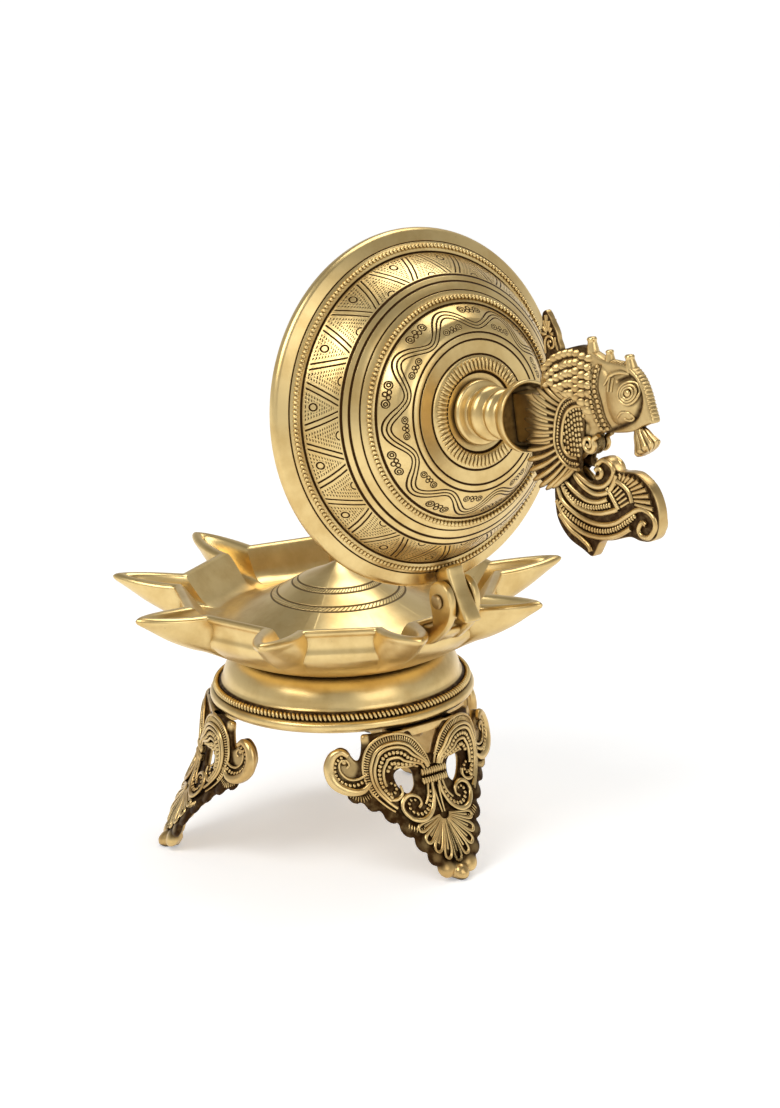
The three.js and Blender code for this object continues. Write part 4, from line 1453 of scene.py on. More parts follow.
@dataclass
class Lid:
    """The domed lid with its engraved bands and three rings of beads."""

    radius: float = 67.4
    crown: float = 39.0

    def section(self) -> list[Pair]:
        """The dome's section from the knob's hole, down the outside to the rim, and back inside.

        Returns:
            The section's corners.
        """
        outer = [(3.4, self.crown), (15, self.crown), (16, 40.2), (19.4, 39.8), (20.6, 38.5), (27.6, 38.2),
                 (31, 37.2), (34.6, 35), (37.4, 31.8), (39.4, 28.9), (41.2, 28.2), (43.6, 26.1), (46, 24.6),
                 (50, 21.5), (52.8, 18.2), (55, 14.6), (56.8, 10.6), (58.1, 7.3), (60.2, 7.4), (62, 5.7),
                 (66.6, 3.5), (self.radius, 2.4), (self.radius, 0.3), (66.9, 0)]
        inner = [(65.2, 0), (64.4, 2.4), (60, 3.8), (57, 5.4), (54.8, 10), (52.2, 14.6), (48, 19.9), (43, 24),
                 (37.4, 28), (32.6, 33.6), (27, 35.8), (3.4, 36.9)]
        return [*rounded(outer, 0.8, 3), *rounded(inner, 0.8, 2)][::-1]

    @staticmethod
    def flank_drawing(angle: Signal, radius: Signal) -> Signal:
        """Slanting double lines round the flank, with a half ring and rows of ticks between them.

        Args:
            angle: Degrees round the lid.
            radius: Millimetres from its axis.

        Returns:
            The cut.
        """
        period = 22.5
        fold = angle.cell(period)
        up_slope = (radius - 50.3) * 1.95
        across = (fold - 9.4 + up_slope * 0.42) * radius * (pi / 180)
        off = across.math("ABSOLUTE")
        cut = off.line(1.05, 0.32, 0.14)
        rows = off.cell(1.5).line(0.0, 0.42, 0.2) * off.step(1.9, 2.1)
        ticks = (up_slope + rows * 0.35).cell(0.95).line(0.0, 0.15, 0.1)
        cut = cut.or_more(rows * ticks * 0.95)
        for centre, height, reach in ((0.0, 1.2, 1.5), (period / 2, 11.4, 1.3)):
            x = (fold - centre) * radius * (pi / 180)
            y = up_slope - height
            away = (x * x + y * y).math("SQRT")
            clear = away.step(reach + 0.7, reach + 0.8)
            cut = (cut * clear).math("MAXIMUM", away.line(reach, 0.26, 0.12))
        return cut * radius.band(50.9, 57.6, 0.12)

    @staticmethod
    def vine_drawing(angle: Signal, radius: Signal) -> Signal:
        """A vine of three waving lines round the upper band, with a flower head in each hollow.

        Args:
            angle: Degrees round the lid.
            radius: Millimetres from its axis.

        Returns:
            The cut.
        """
        waves, swing, middle = 9, 3.9, 34.7
        turn = angle * (pi / 180 * waves)
        up_slope = (radius - middle) * 1.4
        steep = turn.math("COSINE") * (swing * waves / middle)
        away = (up_slope - turn.math("SINE") * swing) / (steep * steep + 1.0).math("SQRT")
        cut = away.line(0.0, 0.26, 0.12)
        for shift in (-1.5, 1.5):
            cut = cut.or_more(away.line(shift, 0.28, 0.12))
        for hollow, height in ((90, -3.6), (270, 3.8)):
            wrapped = (angle + (180.0 - hollow) / waves).math("MODULO", 360.0 / waves) - 180.0 / waves
            x = wrapped * (pi / 180 * middle)
            y = up_slope - height
            for dx, dy, reach in ((0.0, 0.9, 0.75), (-0.9, -0.4, 0.75), (0.9, -0.4, 0.75), (3.2, 0.3, 1.35),
                                  (-3.2, 0.3, 1.35), (3.3, 0.3, 0.6), (-3.3, 0.3, 0.6)):
                ring = ((x - dx) * (x - dx) + (y - dy) * (y - dy)).math("SQRT")
                cut = cut.or_more(ring.line(reach, 0.2, 0.12) * 0.9)
        return cut * radius.band(30.6, 39.2, 0.1)

    def engraving(self) -> Engraving:
        """The flank's slanting lines, the vine, and the plain rings beside the bead rows.

        Returns:
            The engraving.
        """

        def drawing(angle: Signal, radius: Signal) -> Signal:
            """All the lid's lines together.

            Args:
                angle: Degrees round the axis.
                radius: Millimetres from the axis.

            Returns:
                The cut.
            """
            cut = radius.line(50.2, 0.36, 0.12)
            for r, half in ((47.9, 0.36), (29.5, 0.36), (26.9, 0.36), (58.3, 0.3), (62.3, 0.2), (44.7, 0.24),
                            (39.9, 0.4), (21.4, 0.36), (14.9, 0.4)):
                cut = cut.or_more(radius.line(r, half, 0.12))
            cut = cut.or_more(self.flank_drawing(angle, radius))
            return cut.or_more(self.vine_drawing(angle, radius))

        return Engraving(Place.LID, drawing, depth=0.3, darkness=1.15)

    def build(self, shop: Workshop) -> None:
        """Builds and dresses the lid.

        Args:
            shop: Tools and finishes.
        """
        dome = lathe(self.section(), 320, closed=True)
        rows = [shop.beads.along([Path.ring(60.6, 7.2, 0.86, 50, 480)], 1.72, 0.9, 1.2, 1.0),
                shop.beads.along([Path.ring(42.3, 28.0, 0.86, 50, 480)], 1.72, 0.9, 1.3, 1.0),
                shop.beads.along([Path.ring(18.1, 40.1, 0.86, 8, 240)], 1.75, 0.8, 2.9, 0.8)]
        Piece("lid_dressed", merged([dome, *rows]), Place.LID, Body.LID, ("lid",), "polished_brass",
              shop.polished.material(self.engraving())).build()


@dataclass
class Knob:
    """The turned stem and the cup that holds the bird."""

    stem_top: float = 62.0

    def build(self, shop: Workshop) -> None:
        """Builds and dresses the stem and the cup.

        Args:
            shop: Tools and finishes.
        """
        stem = [(0, 39.3), (11.8, 39.3), (12.4, 40.2), (11.8, 41.6), (9.2, 42.2), (8.5, 42.8), (9.6, 44.4),
                (10.5, 46.8), (9.9, 49), (8.2, 50.3), (7.5, 50.9), (8.6, 52.2), (9.5, 54), (9, 55.6),
                (7.6, 56.6), (7, 57.4), (7.9, 58.8), (8.4, 60), (7.6, self.stem_top), (0, self.stem_top)]
        Piece("knob_stem_dressed", lathe(rounded(stem, 0.9, 4), 128), Place.LID, Body.LID, ("knob_stem",),
              "polished_brass", shop.polished.material()).build()
        cup = [(0, 62.3), (9, 62.3), (12.2, 63.8), (13.4, 66.4), (13.4, 68.8), (12.8, 69.2), (12.1, 68.8),
               (11, 65), (0, 64.6)]
        # Painted shade: the inside of the cup, within its wall, is darkened as the shade that falls in it.
        bowl = lathe(rounded(cup, 0.8, 4), 128).darkened(
            lambda p: ramp(p[:, 2], 64.4, 64.6) * (1 - ramp(np.hypot(p[:, 0], p[:, 1]), 12.0, 12.8)) * 0.8)
        Piece("knob_cup_dressed", bowl, Place.LID, Body.LID, ("knob_cup",),
              "polished_brass", shop.polished.material()).build()


# Peacock, drawn flat: x along the lid's axis, y up the bird and z out of the flank


class Flank(Enum):
    """The bird's two flanks, which are drawn flat and alike."""

    RIGHT = -1
    LEFT = 1

    @property
    def matrix(self) -> Matrix:
        """The way from the flat drawing to the lid's frame."""
        return Matrix(((0, -1, 0, 0), (0, 0, self.value, 0), (1, 0, 0, 0), (0, 0, 0, 1)))


def inside_of(points: Rows, outline: Rows) -> Rows:
    """Whether each point lies within a closed outline, seen flat.

    Args:
        points: The points, of which the first two coordinates count.
        outline: The outline.

    Returns:
        Whether each one lies within.
    """
    odd = np.zeros(len(points), bool)
    for (ax, ay), (bx, by) in zip(outline[:, :2], np.roll(outline[:, :2], -1, axis=0)):
        if ay == by:
            continue
        crossing = (points[:, 1] - ay) / (by - ay)
        odd ^= (crossing >= 0) & (crossing < 1) & (points[:, 0] < ax + crossing * (bx - ax))
    return odd


def line_distance(points: Rows, line: Rows) -> Rows:
    """Measures how far points are from a line, seen flat.

    Args:
        points: The points, of which the first two coordinates count.
        line: Samples along the line.

    Returns:
        The shortest distance of each point.
    """
    nearest = np.full(len(points), np.inf)
    for a, b in zip(line[:-1, :2], line[1:, :2]):
        along = b - a
        share = np.clip((points[:, :2] - a) @ along / max(along @ along, 1e-9), 0, 1)
        gap = points[:, :2] - a - share[:, None] * along
        nearest = np.minimum(nearest, np.hypot(gap[:, 0], gap[:, 1]))
    return nearest


def mound(x: float, y: float, half_x: float, half_y: float, half_z: float) -> Shell:
    """A smooth mound on both faces of a flat casting."""
    rises = np.linspace(-pi / 2, pi / 2, 21)
    ball = lathe([(cos(rise), sin(rise)) for rise in rises], 48)
    return ball.warped(lambda p: p * np.array([half_x, half_y, half_z]) + np.array([x, y, 0.0]))


def spiral(x: float, y: float, radius: float, turns: float, start: float) -> list[Pair]:
    """Corners of a spiral that winds inwards.

    Args:
        x: Its centre.
        y: Its centre.
        radius: Its outer radius.
        turns: How often it winds round, clockwise where negative.
        start: Direction of its outer end, in degrees.

    Returns:
        The corners from the outer end to the middle.
    """
    run = np.linspace(0, 1, int(abs(turns) * 10))
    angle = np.radians(start + 360 * turns * run)
    reach = radius * (1 - 0.82 * run)
    return list(zip(x + reach * np.cos(angle), y + reach * np.sin(angle)))


def both_faces(shell: Shell) -> Shell:
    """A shell and its mirror image on the other face of a flat casting."""
    return merged([shell, shell.mirrored(2)])


def leaf_plate(outline: Rows, half_depth: float, bevel: float) -> Shell:
    """A flat plate with dark faces and a bright edge."""
    plate = slab(outline, -half_depth, half_depth, bevel)
    return plate.darkened(lambda p: 0.1 + 0.9 * ramp(np.abs(p[:, 2]), half_depth - 0.2, half_depth))


class Relief:
    """The upper face of a flat casting, for ornament that lies on it."""

    def __init__(self, shell: Shell) -> None:
        """Keeps the casting's faces ready for measuring."""
        self.tree = BVHTree.FromPolygons(shell.points.tolist(), shell.faces)

    def path(self, corners: Corners, gauge: Gauge, lift: float = 0.0, step: float = 0.5,
             closed: bool = False, lean: Pair = (0.0, 0.0)) -> Path:
        """A smooth line that lies on the face.

        Args:
            corners: Points that the line goes through, seen flat.
            gauge: Half width of the ornament, or several values spread along the line.
            lift: How far the line is raised off the face.
            step: Distance between samples.
            closed: Whether the line comes back to its start.
            lean: How far the ornament leans over along x and y, against its own height.

        Returns:
            The path.
        """
        flat = Path.flat(corners, gauge, 0.0, step, closed)
        for i, (x, y, _) in enumerate(flat.points):
            hit, normal, _, _ = self.tree.ray_cast(Vector((x, y, 50)), Vector((0, 0, -1)))
            if hit is not None:
                flat.points[i, 2] = hit.z + lift
                flat.up[i] = (normal.x + lean[0], normal.y + lean[1], normal.z)
        return flat


@dataclass
class PeacockBody:
    """The bird's body, neck, head and beak, a thin casting domed on both faces."""

    outline: Pairs = (
        (80, -9), (78, 0), (79.4, 12), (83.2, 20), (88.9, 24.4), (97, 26.6), (106, 27.8), (113, 25.2),
        (118, 23.2), (124, 22.6), (130, 21.9), (134, 19.6), (136.8, 16.2), (138.5, 12.1), (139.6, 7),
        (140.8, 1.8), (138.8, 1.2), (134.6, 0), (130, -1.8), (124, -2.8), (112, -3.6), (108, -5.4),
        (104, -9.8), (97, -13), (87, -13))
    edge: float = 2.3
    seat: float = 3.1
    groove: Pairs = (
        (114.4, -3.2), (120.3, -1.2), (126, 0.4), (131.6, 2.8), (135, 6.8), (136.2, 11), (134.8, 15),
        (131.6, 17.8), (126.6, 16.6))
    collars: tuple[Pairs, ...] = (
        ((111.2, 20.6), (111, 15.7), (111.6, 10.6), (111.8, 6.5), (112, 2.4), (112.6, -1.6)),
        ((114.6, 21), (114.2, 13.8), (115.3, 8.8), (115.6, 3.1), (116, -1.4)))
    scale_rows: int = 9
    eye: Pair = (131.4, 12.4)

    def masses(self) -> Shell:
        """The plain casting before it is carved."""
        plate = slab(spline(self.outline, 200, closed=True), -self.edge, self.edge, 1.0)
        mounds = [mound(93, 4, 14.4, 19, 5.2), mound(104, 12, 14, 14.4, 5.3), mound(114, 10, 10, 13, 5.0),
                  mound(125, 9.8, 12, 11.4, 4.9), mound(94, -5, 10, 7.6, 4.4)]
        return cast([plate, *mounds], 0.42, 6)

    def carved(self, wing: "Wing") -> Shell:
        """The casting with seats for the wings and dark grooves round the face and collar.

        Args:
            wing: The wing that needs a seat.

        Returns:
            The carved casting.
        """
        shell = self.masses()
        face = spline(self.groove, 60)
        dents = [(face, 0.75, 0.9)]
        for row in self.collars:
            for side in (-1.35, 1.35):
                dents.append((spline(row, 40) + np.array([side, 0.0]), 0.42, 0.55))
        seat_edge = spline([*wing.tips, *wing.inner_side, wing.arc[0]], 120, closed=True)
        rim = line_distance(shell.points, np.vstack([seat_edge, seat_edge[:1]]))
        within = inside_of(shell.points, seat_edge)

        def cut(p: Rows) -> Rows:
            """Sinks the grooves and the wings' seats.

            Args:
                p: The points.

            Returns:
                The points after carving.
            """
            depth = np.abs(p[:, 2])
            for line, width, deep in dents:
                depth = depth - deep * np.exp(-(line_distance(p, line) / width) ** 2) * ramp(depth, 0.6, 2.0)
            flat = np.where(within & (rim > 0.6), np.minimum(depth, self.seat), depth)
            return np.column_stack([p[:, :2], np.sign(p[:, 2]) * flat])

        def grime(p: Rows) -> Rows:
            """Darkens the grooves, the eye's hollow and the gaps between scales.

            Args:
                p: The points.

            Returns:
                The patina.
            """
            middle = np.hypot(p[:, 0] - self.eye[0], p[:, 1] - self.eye[1])
            dark = np.maximum(0.2, 0.85 * (1 - ramp(middle, 4.2, 5.6)))
            for line, width, _ in dents:
                dark = np.maximum(dark, np.exp(-(line_distance(p, line) / (width * 1.25)) ** 2))
            scales = ramp(p[:, 0], 84, 88) * (1 - ramp(p[:, 0], 109.4, 110.8)) * ramp(p[:, 1], 4, 9)
            return np.maximum(dark, scales * 0.95)

        return shell.darkened(grime).warped(cut)

    def scales(self, shop: Workshop, relief: Relief) -> Shell:
        """Overlapping scales down the back and neck, their round ends towards the tail.

        Args:
            shop: Tools and finishes.
            relief: The carved flank.

        Returns:
            The scales.
        """
        low = spline([(86.6, 13.2), (93, 12.4), (101.9, 9.4), (109.4, 5)], self.scale_rows)
        high = spline([(84.8, 19.4), (91.6, 23.4), (101.8, 25.2), (110.6, 23.6)], self.scale_rows)
        rows = []
        for i, (start, end) in enumerate(zip(low, high)):
            way = (end - start) / np.linalg.norm(end - start)
            begin = start + way * (1.5 if i % 2 else 0.0)
            middle = (begin + end) / 2 + np.array([1.2, 0.0])
            rows.append(relief.path([begin, middle, end], 2.1, -0.05, lean=(0.8, 0.0)))
        return shop.beads.along(rows, 3.0, 0.8, 1.1, 0.34)

    def collar(self, shop: Workshop, relief: Relief) -> Shell:
        """Two upright rows of beads between the scales and the cheek."""
        rows = [relief.path(row, 0.92, 0.1) for row in self.collars]
        return shop.beads.along(rows, 1.75, 0.95, 1.05, 0.9)

    def face(self, shop: Workshop, relief: Relief) -> Shell:
        """The eye's lids, the nostril's curl and the brow.

        Args:
            shop: Tools and finishes.
            relief: The carved flank.

        Returns:
            The face's lines and eyeball.
        """
        rings = []
        for reach in (1.0, 0.74, 0.5):
            turn = np.linspace(0, 2 * pi, 12, endpoint=False)
            x, y = 4.3 * np.cos(turn) * reach, 3.7 * np.sin(turn) * reach
            almond = np.column_stack([self.eye[0] + x * 0.96 - y * 0.2, self.eye[1] + y + x * 0.3])
            rings.append(relief.path(almond, 0.6, 0.2, closed=True))
        nostril = relief.path(
            [(124.4, 3.4), (127.4, 5.4), (130.6, 5.2), (131.6, 3.4), (129.6, 2.2), (127.8, 3)], 0.5)
        brow = relief.path([(118.6, 14.6), (121.6, 17.8), (126.4, 19.4), (131.4, 18.8)], [0.4, 0.9, 0.9, 0.5])
        behind = [relief.path([(121.2 + k, 12.6), (122 + k, 17.4)], 0.6) for k in (0, 2)]
        lines = shop.ridge.along([*rings, nostril, brow, *behind])
        ball = mound(*self.eye, 1.5, 1.4, 1.0)
        top = relief.path([self.eye, (self.eye[0] + 0.1, self.eye[1])], 1.0).points[0, 2]
        return merged([lines, ball.warped(lambda p: p + np.array([0, 0, top + 0.2]))])

    def edge_band(self, shop: Workshop) -> Shell:
        """Ribs across the edge from the crown round the brow to the beak.

        Args:
            shop: Tools and finishes.

        Returns:
            The ribs.
        """
        line = spline([(120, 22.9), (124, 22.6), (130, 21.8), (134, 19.5), (136.8, 16.1), (138.5, 12),
                       (139.6, 7.4), (140.4, 3.6)], 80)
        ahead = np.gradient(line, axis=0)
        out = np.column_stack([ahead[:, 1], -ahead[:, 0], np.zeros(len(line))]) * -1
        out /= np.linalg.norm(out, axis=1)[:, None]
        points = np.column_stack([line, np.zeros(len(line))]) - out * 0.25
        ribs = Path(points, np.full(len(line), 0.62), out)
        return shop.beads.along([ribs], 1.35, 0.85, 3.5, 1.1)

    def crest(self) -> Shell:
        """Three knobs on the nape and crown.

        Returns:
            The knobs.
        """
        knobs = []
        for x, y, lean, tall, thick in ((109.8, 24.0, 0.2, 7.2, 2.5), (118.8, 21.0, 0.4, 5.8, 2.1),
                                        (130.6, 19.0, -0.8, 6.6, 2.5)):
            profile = [(0, 0), (thick, 0), (thick * 0.86, tall * 0.4), (thick * 0.64, tall * 0.76),
                       (thick * 0.78, tall * 0.86), (thick * 0.6, tall * 0.98), (0, tall)]
            turned = lathe(rounded(profile, 0.5), 28)
            stand = Matrix.Translation((x, y, 0)) @ Matrix.Rotation(-radians(90), 4, "X")
            knobs.append(turned.moved(stand @ Matrix.Shear("XY", 4, (lean / tall, 0.0))))
        return merged(knobs)

    def build(self, shop: Workshop, wing: "Wing") -> None:
        """Builds the body, with the tang that stands in the cup and the scroll under the jaw.

        Args:
            shop: Tools and finishes.
            wing: The wing that needs a seat.
        """
        carving = self.carved(wing)
        relief = Relief(carving)
        tang = slab(np.array([(65, -9.2), (84, -9.2), (84, 9.2), (65, 9.2)]), -3.9, 3.9, 0.5)
        curl = [(111.4, -4.2), *spiral(105.4, -7.4, 3.4, -1.6, 30)]
        scroll = merged([shop.ridge.along([Path.flat(curl, [0.9, 1.1, 1.05, 0.95, 0.8], 3.2)]),
                         mound(105.4, -7.4, 4.3, 4.3, 2.9).evenly_darkened(0.45)])
        upper = merged([self.scales(shop, relief), self.collar(shop, relief), self.face(shop, relief), scroll])
        whole = merged([carving, tang, both_faces(upper), self.edge_band(shop), self.crest()])
        shop.bird_piece("peacock_body_dressed", whole, "bird_body")


@dataclass
class Wing:
    """One of the two wings, with a pebbled shoulder inside an arc of beads and a fan of long feathers."""

    seat: float = 3.2
    feather_count: int = 20
    arc: Pairs = (
        (105.6, 8.6), (100.4, 8.2), (95.2, 5.6), (91.9, 1.2), (90.1, -3.8), (89.4, -8), (91.1, -12.1),
        (94.7, -14.5), (99.1, -15))
    tips: Pairs = (
        (98.4, 10.4), (92.4, 13), (85.8, 13.6), (79, 11), (73.6, 6.4), (70.9, 0.9), (70.4, -3.8),
        (70, -8.6), (69.8, -13.5), (69.8, -18.4), (71.2, -22.4), (75.2, -25.4), (81, -25.4), (85.2, -22.6))
    inner_side: Pairs = ((99.1, -15), (100.9, -12), (102.4, -8.4), (103.8, -4.2), (105.2, 2))

    def feathers(self, shop: Workshop) -> Shell:
        """Long convex feathers, each a little over the next.

        Args:
            shop: Tools and finishes.

        Returns:
            The feathers.
        """
        roots = spline(self.arc, self.feather_count + 1)[1:]
        lines = []
        for root, tip in zip(roots, spline(self.tips, self.feather_count)):
            away = (tip - root) / np.linalg.norm(tip - root)
            side = np.array([-away[1], away[0]])
            bend = (root + tip) / 2 + side * 0.7
            line = Path.flat([root + away * -0.4, bend, tip],
                             [0.55, 0.6, 0.68, 0.78, 0.9, 1.0, 1.08, 1.14, 1.14, 1.0, 0.5])
            line.points[:, 2] += np.linspace(0.75, 0.45, len(line.points)) / 0.75
            lines.append(line)
        blades = shop.ridge.along(lines)
        # Painted shade: each blade is darkened along its lower side, towards the web, so the gaps between
        # blades look shaded.
        blades = blades.darkened(lambda p: ramp(-p[:, 2], -1.6, -0.9))
        return blades.warped(lambda p: p * np.array([1, 1, 0.75]) + np.array([0, 0, self.seat]))

    def build(self, shop: Workshop, flank: Flank, node: str) -> None:
        """Builds and dresses the wing of one flank.

        Args:
            shop: Tools and finishes.
            flank: The flank that it lies on.
            node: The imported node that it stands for.
        """
        shoulder = spline([*self.arc, *self.inner_side[1:]], 90, closed=True)
        heart = shoulder.mean(axis=0)
        plate = slab(shoulder, self.seat, self.seat + 0.7, 0.3).evenly_darkened(0.85)
        # The web under the feathers is darkened through, as patina and painted shade in the gaps between the
        # blades.
        tips = np.array(self.tips)
        under = np.vstack([tips + (heart - tips) * 0.09, np.array(self.arc)[::-1]])
        web = slab(spline(under, 110, closed=True), self.seat, self.seat + 0.45, 0.2).evenly_darkened(1.0)
        arc = list(self.arc)
        band = shop.ridge.along([Path.flat(arc, 2.3, self.seat / 0.6)])
        band = band.warped(lambda p: p * np.array([1, 1, 0.6])).evenly_darkened(0.95)
        row = shop.beads.along([Path.flat(arc, 0.66, self.seat + 1.35)], 1.3, 0.95, 1.0, 0.9)
        borders = []
        for offset in (-2.1, 2.1):
            line = spline(arc, 40)
            ahead = np.gradient(line, axis=0)
            normal = np.column_stack([-ahead[:, 1], ahead[:, 0]]) / np.linalg.norm(ahead, axis=1)[:, None]
            borders.append(Path.flat(line + normal * offset, 0.72, self.seat + 1.0))
        pebbles = self.pebbles(shop, shoulder)
        whole = merged([plate, web, band, row, shop.ridge.along(borders), pebbles, self.feathers(shop)])
        shop.bird_piece(f"peacock_wing_{flank.name.lower()}_dressed", whole, node, flank)

    def pebbles(self, shop: Workshop, shoulder: Rows) -> Shell:
        """Small round grains over the shoulder, in staggered rows.

        Args:
            shop: Tools and finishes.
            shoulder: The shoulder's outline.

        Returns:
            The grains.
        """
        rows = []
        for i, x in enumerate(np.arange(93.0, 108.0, 1.75)):
            heights = np.arange(-15, 7, 0.25) + (0.9 if i % 2 else 0.0)
            column = np.column_stack([np.full(len(heights), x), heights])
            clear = (line_distance(column, spline(self.arc, 40)) > 2.9) & (
                line_distance(column, spline(self.inner_side, 30)) > 0.8)
            kept = column[inside_of(column, shoulder) & clear]
            if len(kept) > 8:
                rows.append(Path.flat(kept[[0, -1]], 0.85, self.seat + 0.8))
        return shop.beads.along(rows, 1.8, 0.95, 0.95, 0.8)


@dataclass
class Tail:
    """The tail, a flat scroll of ridges, bead rows and fanned ribs, alike on both faces."""

    half_depth: float = 2.1
    outline: Pairs = (
        (88, -10), (84.6, -16), (82, -22), (80.6, -29), (81, -37), (86, -43.6), (93.6, -47.4), (98.2, -49.6),
        (101.2, -47), (104.4, -43.8), (112, -42.6), (121, -40.8), (126.7, -41.8), (132.1, -41.6),
        (136.3, -39.2), (138.5, -33.9), (138.3, -27.7), (135.5, -21.8), (129.6, -17.6), (124.7, -16.8),
        (119.5, -16.9), (116.6, -15.2), (114, -12.8), (110.8, -12.2), (107.8, -14), (105.8, -16.8),
        (105.2, -19.4), (102.8, -21.8), (99.4, -21.9), (96.4, -20.4), (94.8, -17), (95.6, -10))
    ridges: tuple[Pairs, ...] = (
        ((94.9, -17.8), (97.7, -20.3), (102.1, -22.6), (106.8, -23.3), (111.9, -22), (116, -18.5),
         (116.3, -15.9), (114.2, -14), (111.2, -13.3), (108.4, -14.6)),
        ((106.6, -17.2), (108.1, -16.4), (109.9, -17.4), (109.1, -19.3), (107, -19.9)),
        ((93.7, -17.6), (95.2, -20.8), (98.8, -23.7), (104, -25.8), (108.8, -25.7), (113.1, -24.2),
         (116.5, -20.8), (118, -18.2)),
        ((87.5, -18.3), (89.2, -22.4), (93.5, -25.8), (99.5, -28.5), (105.8, -28.9), (111.7, -27.4)),
        ((85.9, -22.6), (88.3, -27.2), (93.3, -31.1), (100.3, -32.9), (106.7, -33), (113.3, -31.7),
         (116.7, -30.7)),
        ((83.4, -22.8), (85.5, -29.5), (92, -33.8), (99.7, -36.4), (107.6, -37.1), (115, -35.8),
         (121.9, -32.7), (127.9, -30.2), (132.5, -30.4), (136, -32.7), (136.2, -36.3), (132.5, -39.8),
         (128.5, -39.8), (127, -37.5), (129.4, -34.8), (131.6, -35.6)),
        ((82.2, -29.8), (85.4, -35.3), (91.1, -39.1), (97.9, -41.4), (106.7, -41.9), (114.9, -40.4),
         (122.7, -37.3)),
        ((83.2, -34.9), (88, -39.9), (93.9, -43.1), (97.6, -45.6), (98.4, -47.6)),
        ((112, -23.5), (114.3, -26.5), (117.1, -31)),
        ((118.1, -20.5), (121.4, -21.9), (124.2, -24.3), (125.1, -27.8)))
    bead_rows: tuple[Pairs, ...] = (
        ((86.6, -20.4), (87.6, -25), (91.4, -28.5), (97.5, -30.7), (103.9, -31), (112.4, -29.6)),
        ((84, -30.4), (86.8, -33.8), (92.2, -36.7), (99.1, -39), (107.1, -39.5), (114.6, -38), (121.5, -34.9),
         (125.6, -32.6)))

    def ribs(self) -> list[Path]:
        """Short ribs: a ladder between two lines, and the fan outside the arc.

        Returns:
            The ribs' lines.
        """
        top = self.half_depth + 0.1
        near = spline([(114, -23.6), (115.9, -26), (118.4, -29.8)], 6)
        far = spline([(117.2, -21.4), (121, -24), (123.4, -27.6)], 6)
        ladder = [Path.flat([a, b], 0.5, top) for a, b in zip(near, far)]
        near = spline([(119.4, -19.8), (123, -21.2), (125.8, -24.2), (126.6, -28.4)], 10)
        far = spline([(120.4, -18), (125.6, -18.2), (130, -19.4), (134.2, -22.8), (136.6, -29.4)], 10)
        return ladder + [Path.flat([a, b], [0.55, 0.85, 1.0], top) for a, b in zip(near, far)]

    def build(self, shop: Workshop) -> None:
        """Builds and dresses the tail.

        Args:
            shop: Tools and finishes.
        """
        plate = leaf_plate(spline(self.outline, 260, closed=True), self.half_depth, 0.5)
        top = self.half_depth + 0.1
        wires = shop.ridge.along([Path.flat(line, 1.08, top) for line in self.ridges] + self.ribs())
        rows = [Path.flat(line, 1.2, top) for line in self.bead_rows]
        beads = shop.beads.along(rows, 1.5, 0.62, 1.0, 0.9)
        whole = merged([plate, both_faces(merged([wires, beads]))])
        shop.bird_piece("peacock_tail_dressed", whole, "bird_tail")


@dataclass
class Plume:
    """The leaf behind the neck, with a curl low in it and ribs fanned over its top."""

    half_depth: float = 1.2
    outline: Pairs = (
        (84, 19), (83.6, 25), (82.6, 30.8), (82.8, 32.8), (84, 35.2), (84.2, 37.6), (85, 39.2), (86.9, 40),
        (88.5, 38.3), (89.5, 36.3), (90.9, 33.9), (91.8, 31.5), (92, 29.2), (93, 26), (92.6, 19))

    def build(self, shop: Workshop) -> None:
        """Builds and dresses the plume.

        Args:
            shop: Tools and finishes.
        """
        plate = leaf_plate(spline(self.outline, 110, closed=True), self.half_depth, 0.4)
        top = self.half_depth + 0.05
        tips = spline([(83.9, 31.4), (85.2, 35.4), (86.9, 38.4), (88.9, 35.2), (90.4, 31.6)], 7)
        ribs = [Path.flat([(87.4 + (x - 87.4) * 0.3, 31.4 + (y - 31.4) * 0.2), (x, y)], [0.45, 0.85, 0.75], top)
                for x, y in tips]
        curl = Path.flat([(84.4, 24.4), (84.6, 27.4), *spiral(87.7, 28.0, 3.0, -1.4, 170)], 0.62, top)
        foot = Path.flat([(91.6, 25.4), (90.6, 28.4), (90.8, 30.4)], 0.5, top)
        whole = merged([plate, both_faces(shop.ridge.along([*ribs, curl, foot]))])
        shop.bird_piece("leaf_plume_dressed", whole, "leaf_plume")


@dataclass
class Bud:
    """The ribbed flower bud that hangs from under the beak."""

    root: Pair = (129.8, 0.6)
    tip: Pair = (134.8, -9.4)
    ribs: int = 11
    flatness: float = 0.6

    def build(self, shop: Workshop) -> None:
        """Builds and dresses the bud.

        Args:
            shop: Tools and finishes.
        """
        bell = [(0, -0.6), (2.9, -0.6), (3.2, 0.8), (2.6, 1.9), (3.2, 2.8), (3.9, 4.2), (4.7, 6.4),
                (5.8, 8.4), (6.4, 9.6), (5.6, 10.5), (3.4, 11.2), (0, 11.5)]
        turned = lathe(rounded(bell, 0.5), 132)

        def fluted(p: Rows) -> Rows:
            """Ribs the bell and flattens it.

            Args:
                p: The points.

            Returns:
                The points with flutes.
            """
            angle = np.arctan2(p[:, 1], p[:, 0])
            reach = ramp(p[:, 2], 2.2, 4.0)
            swell = 1 + 0.075 * reach * (np.abs(np.cos(angle * self.ribs / 2)) * 2 - 1.2)
            return np.column_stack([p[:, 0] * swell, p[:, 1] * swell * self.flatness, p[:, 2]])

        def grime(p: Rows) -> Rows:
            """Darkens the gaps between the ribs.

            Args:
                p: The points.

            Returns:
                The patina.
            """
            angle = np.arctan2(p[:, 1], p[:, 0])
            return ramp(p[:, 2], 2.2, 4.0) * (1 - ramp(np.abs(np.cos(angle * self.ribs / 2)), 0.1, 0.5)) * 0.9

        fall = Vector((self.tip[0] - self.root[0], self.tip[1] - self.root[1], 0))
        turn = fall.to_track_quat("Z", "Y").to_matrix().to_4x4()
        bud = turned.darkened(grime).warped(fluted).moved(Matrix.Translation((*self.root, 0)) @ turn)
        shop.bird_piece("flower_bud_dressed", bud, "flower_bud")


# Stage


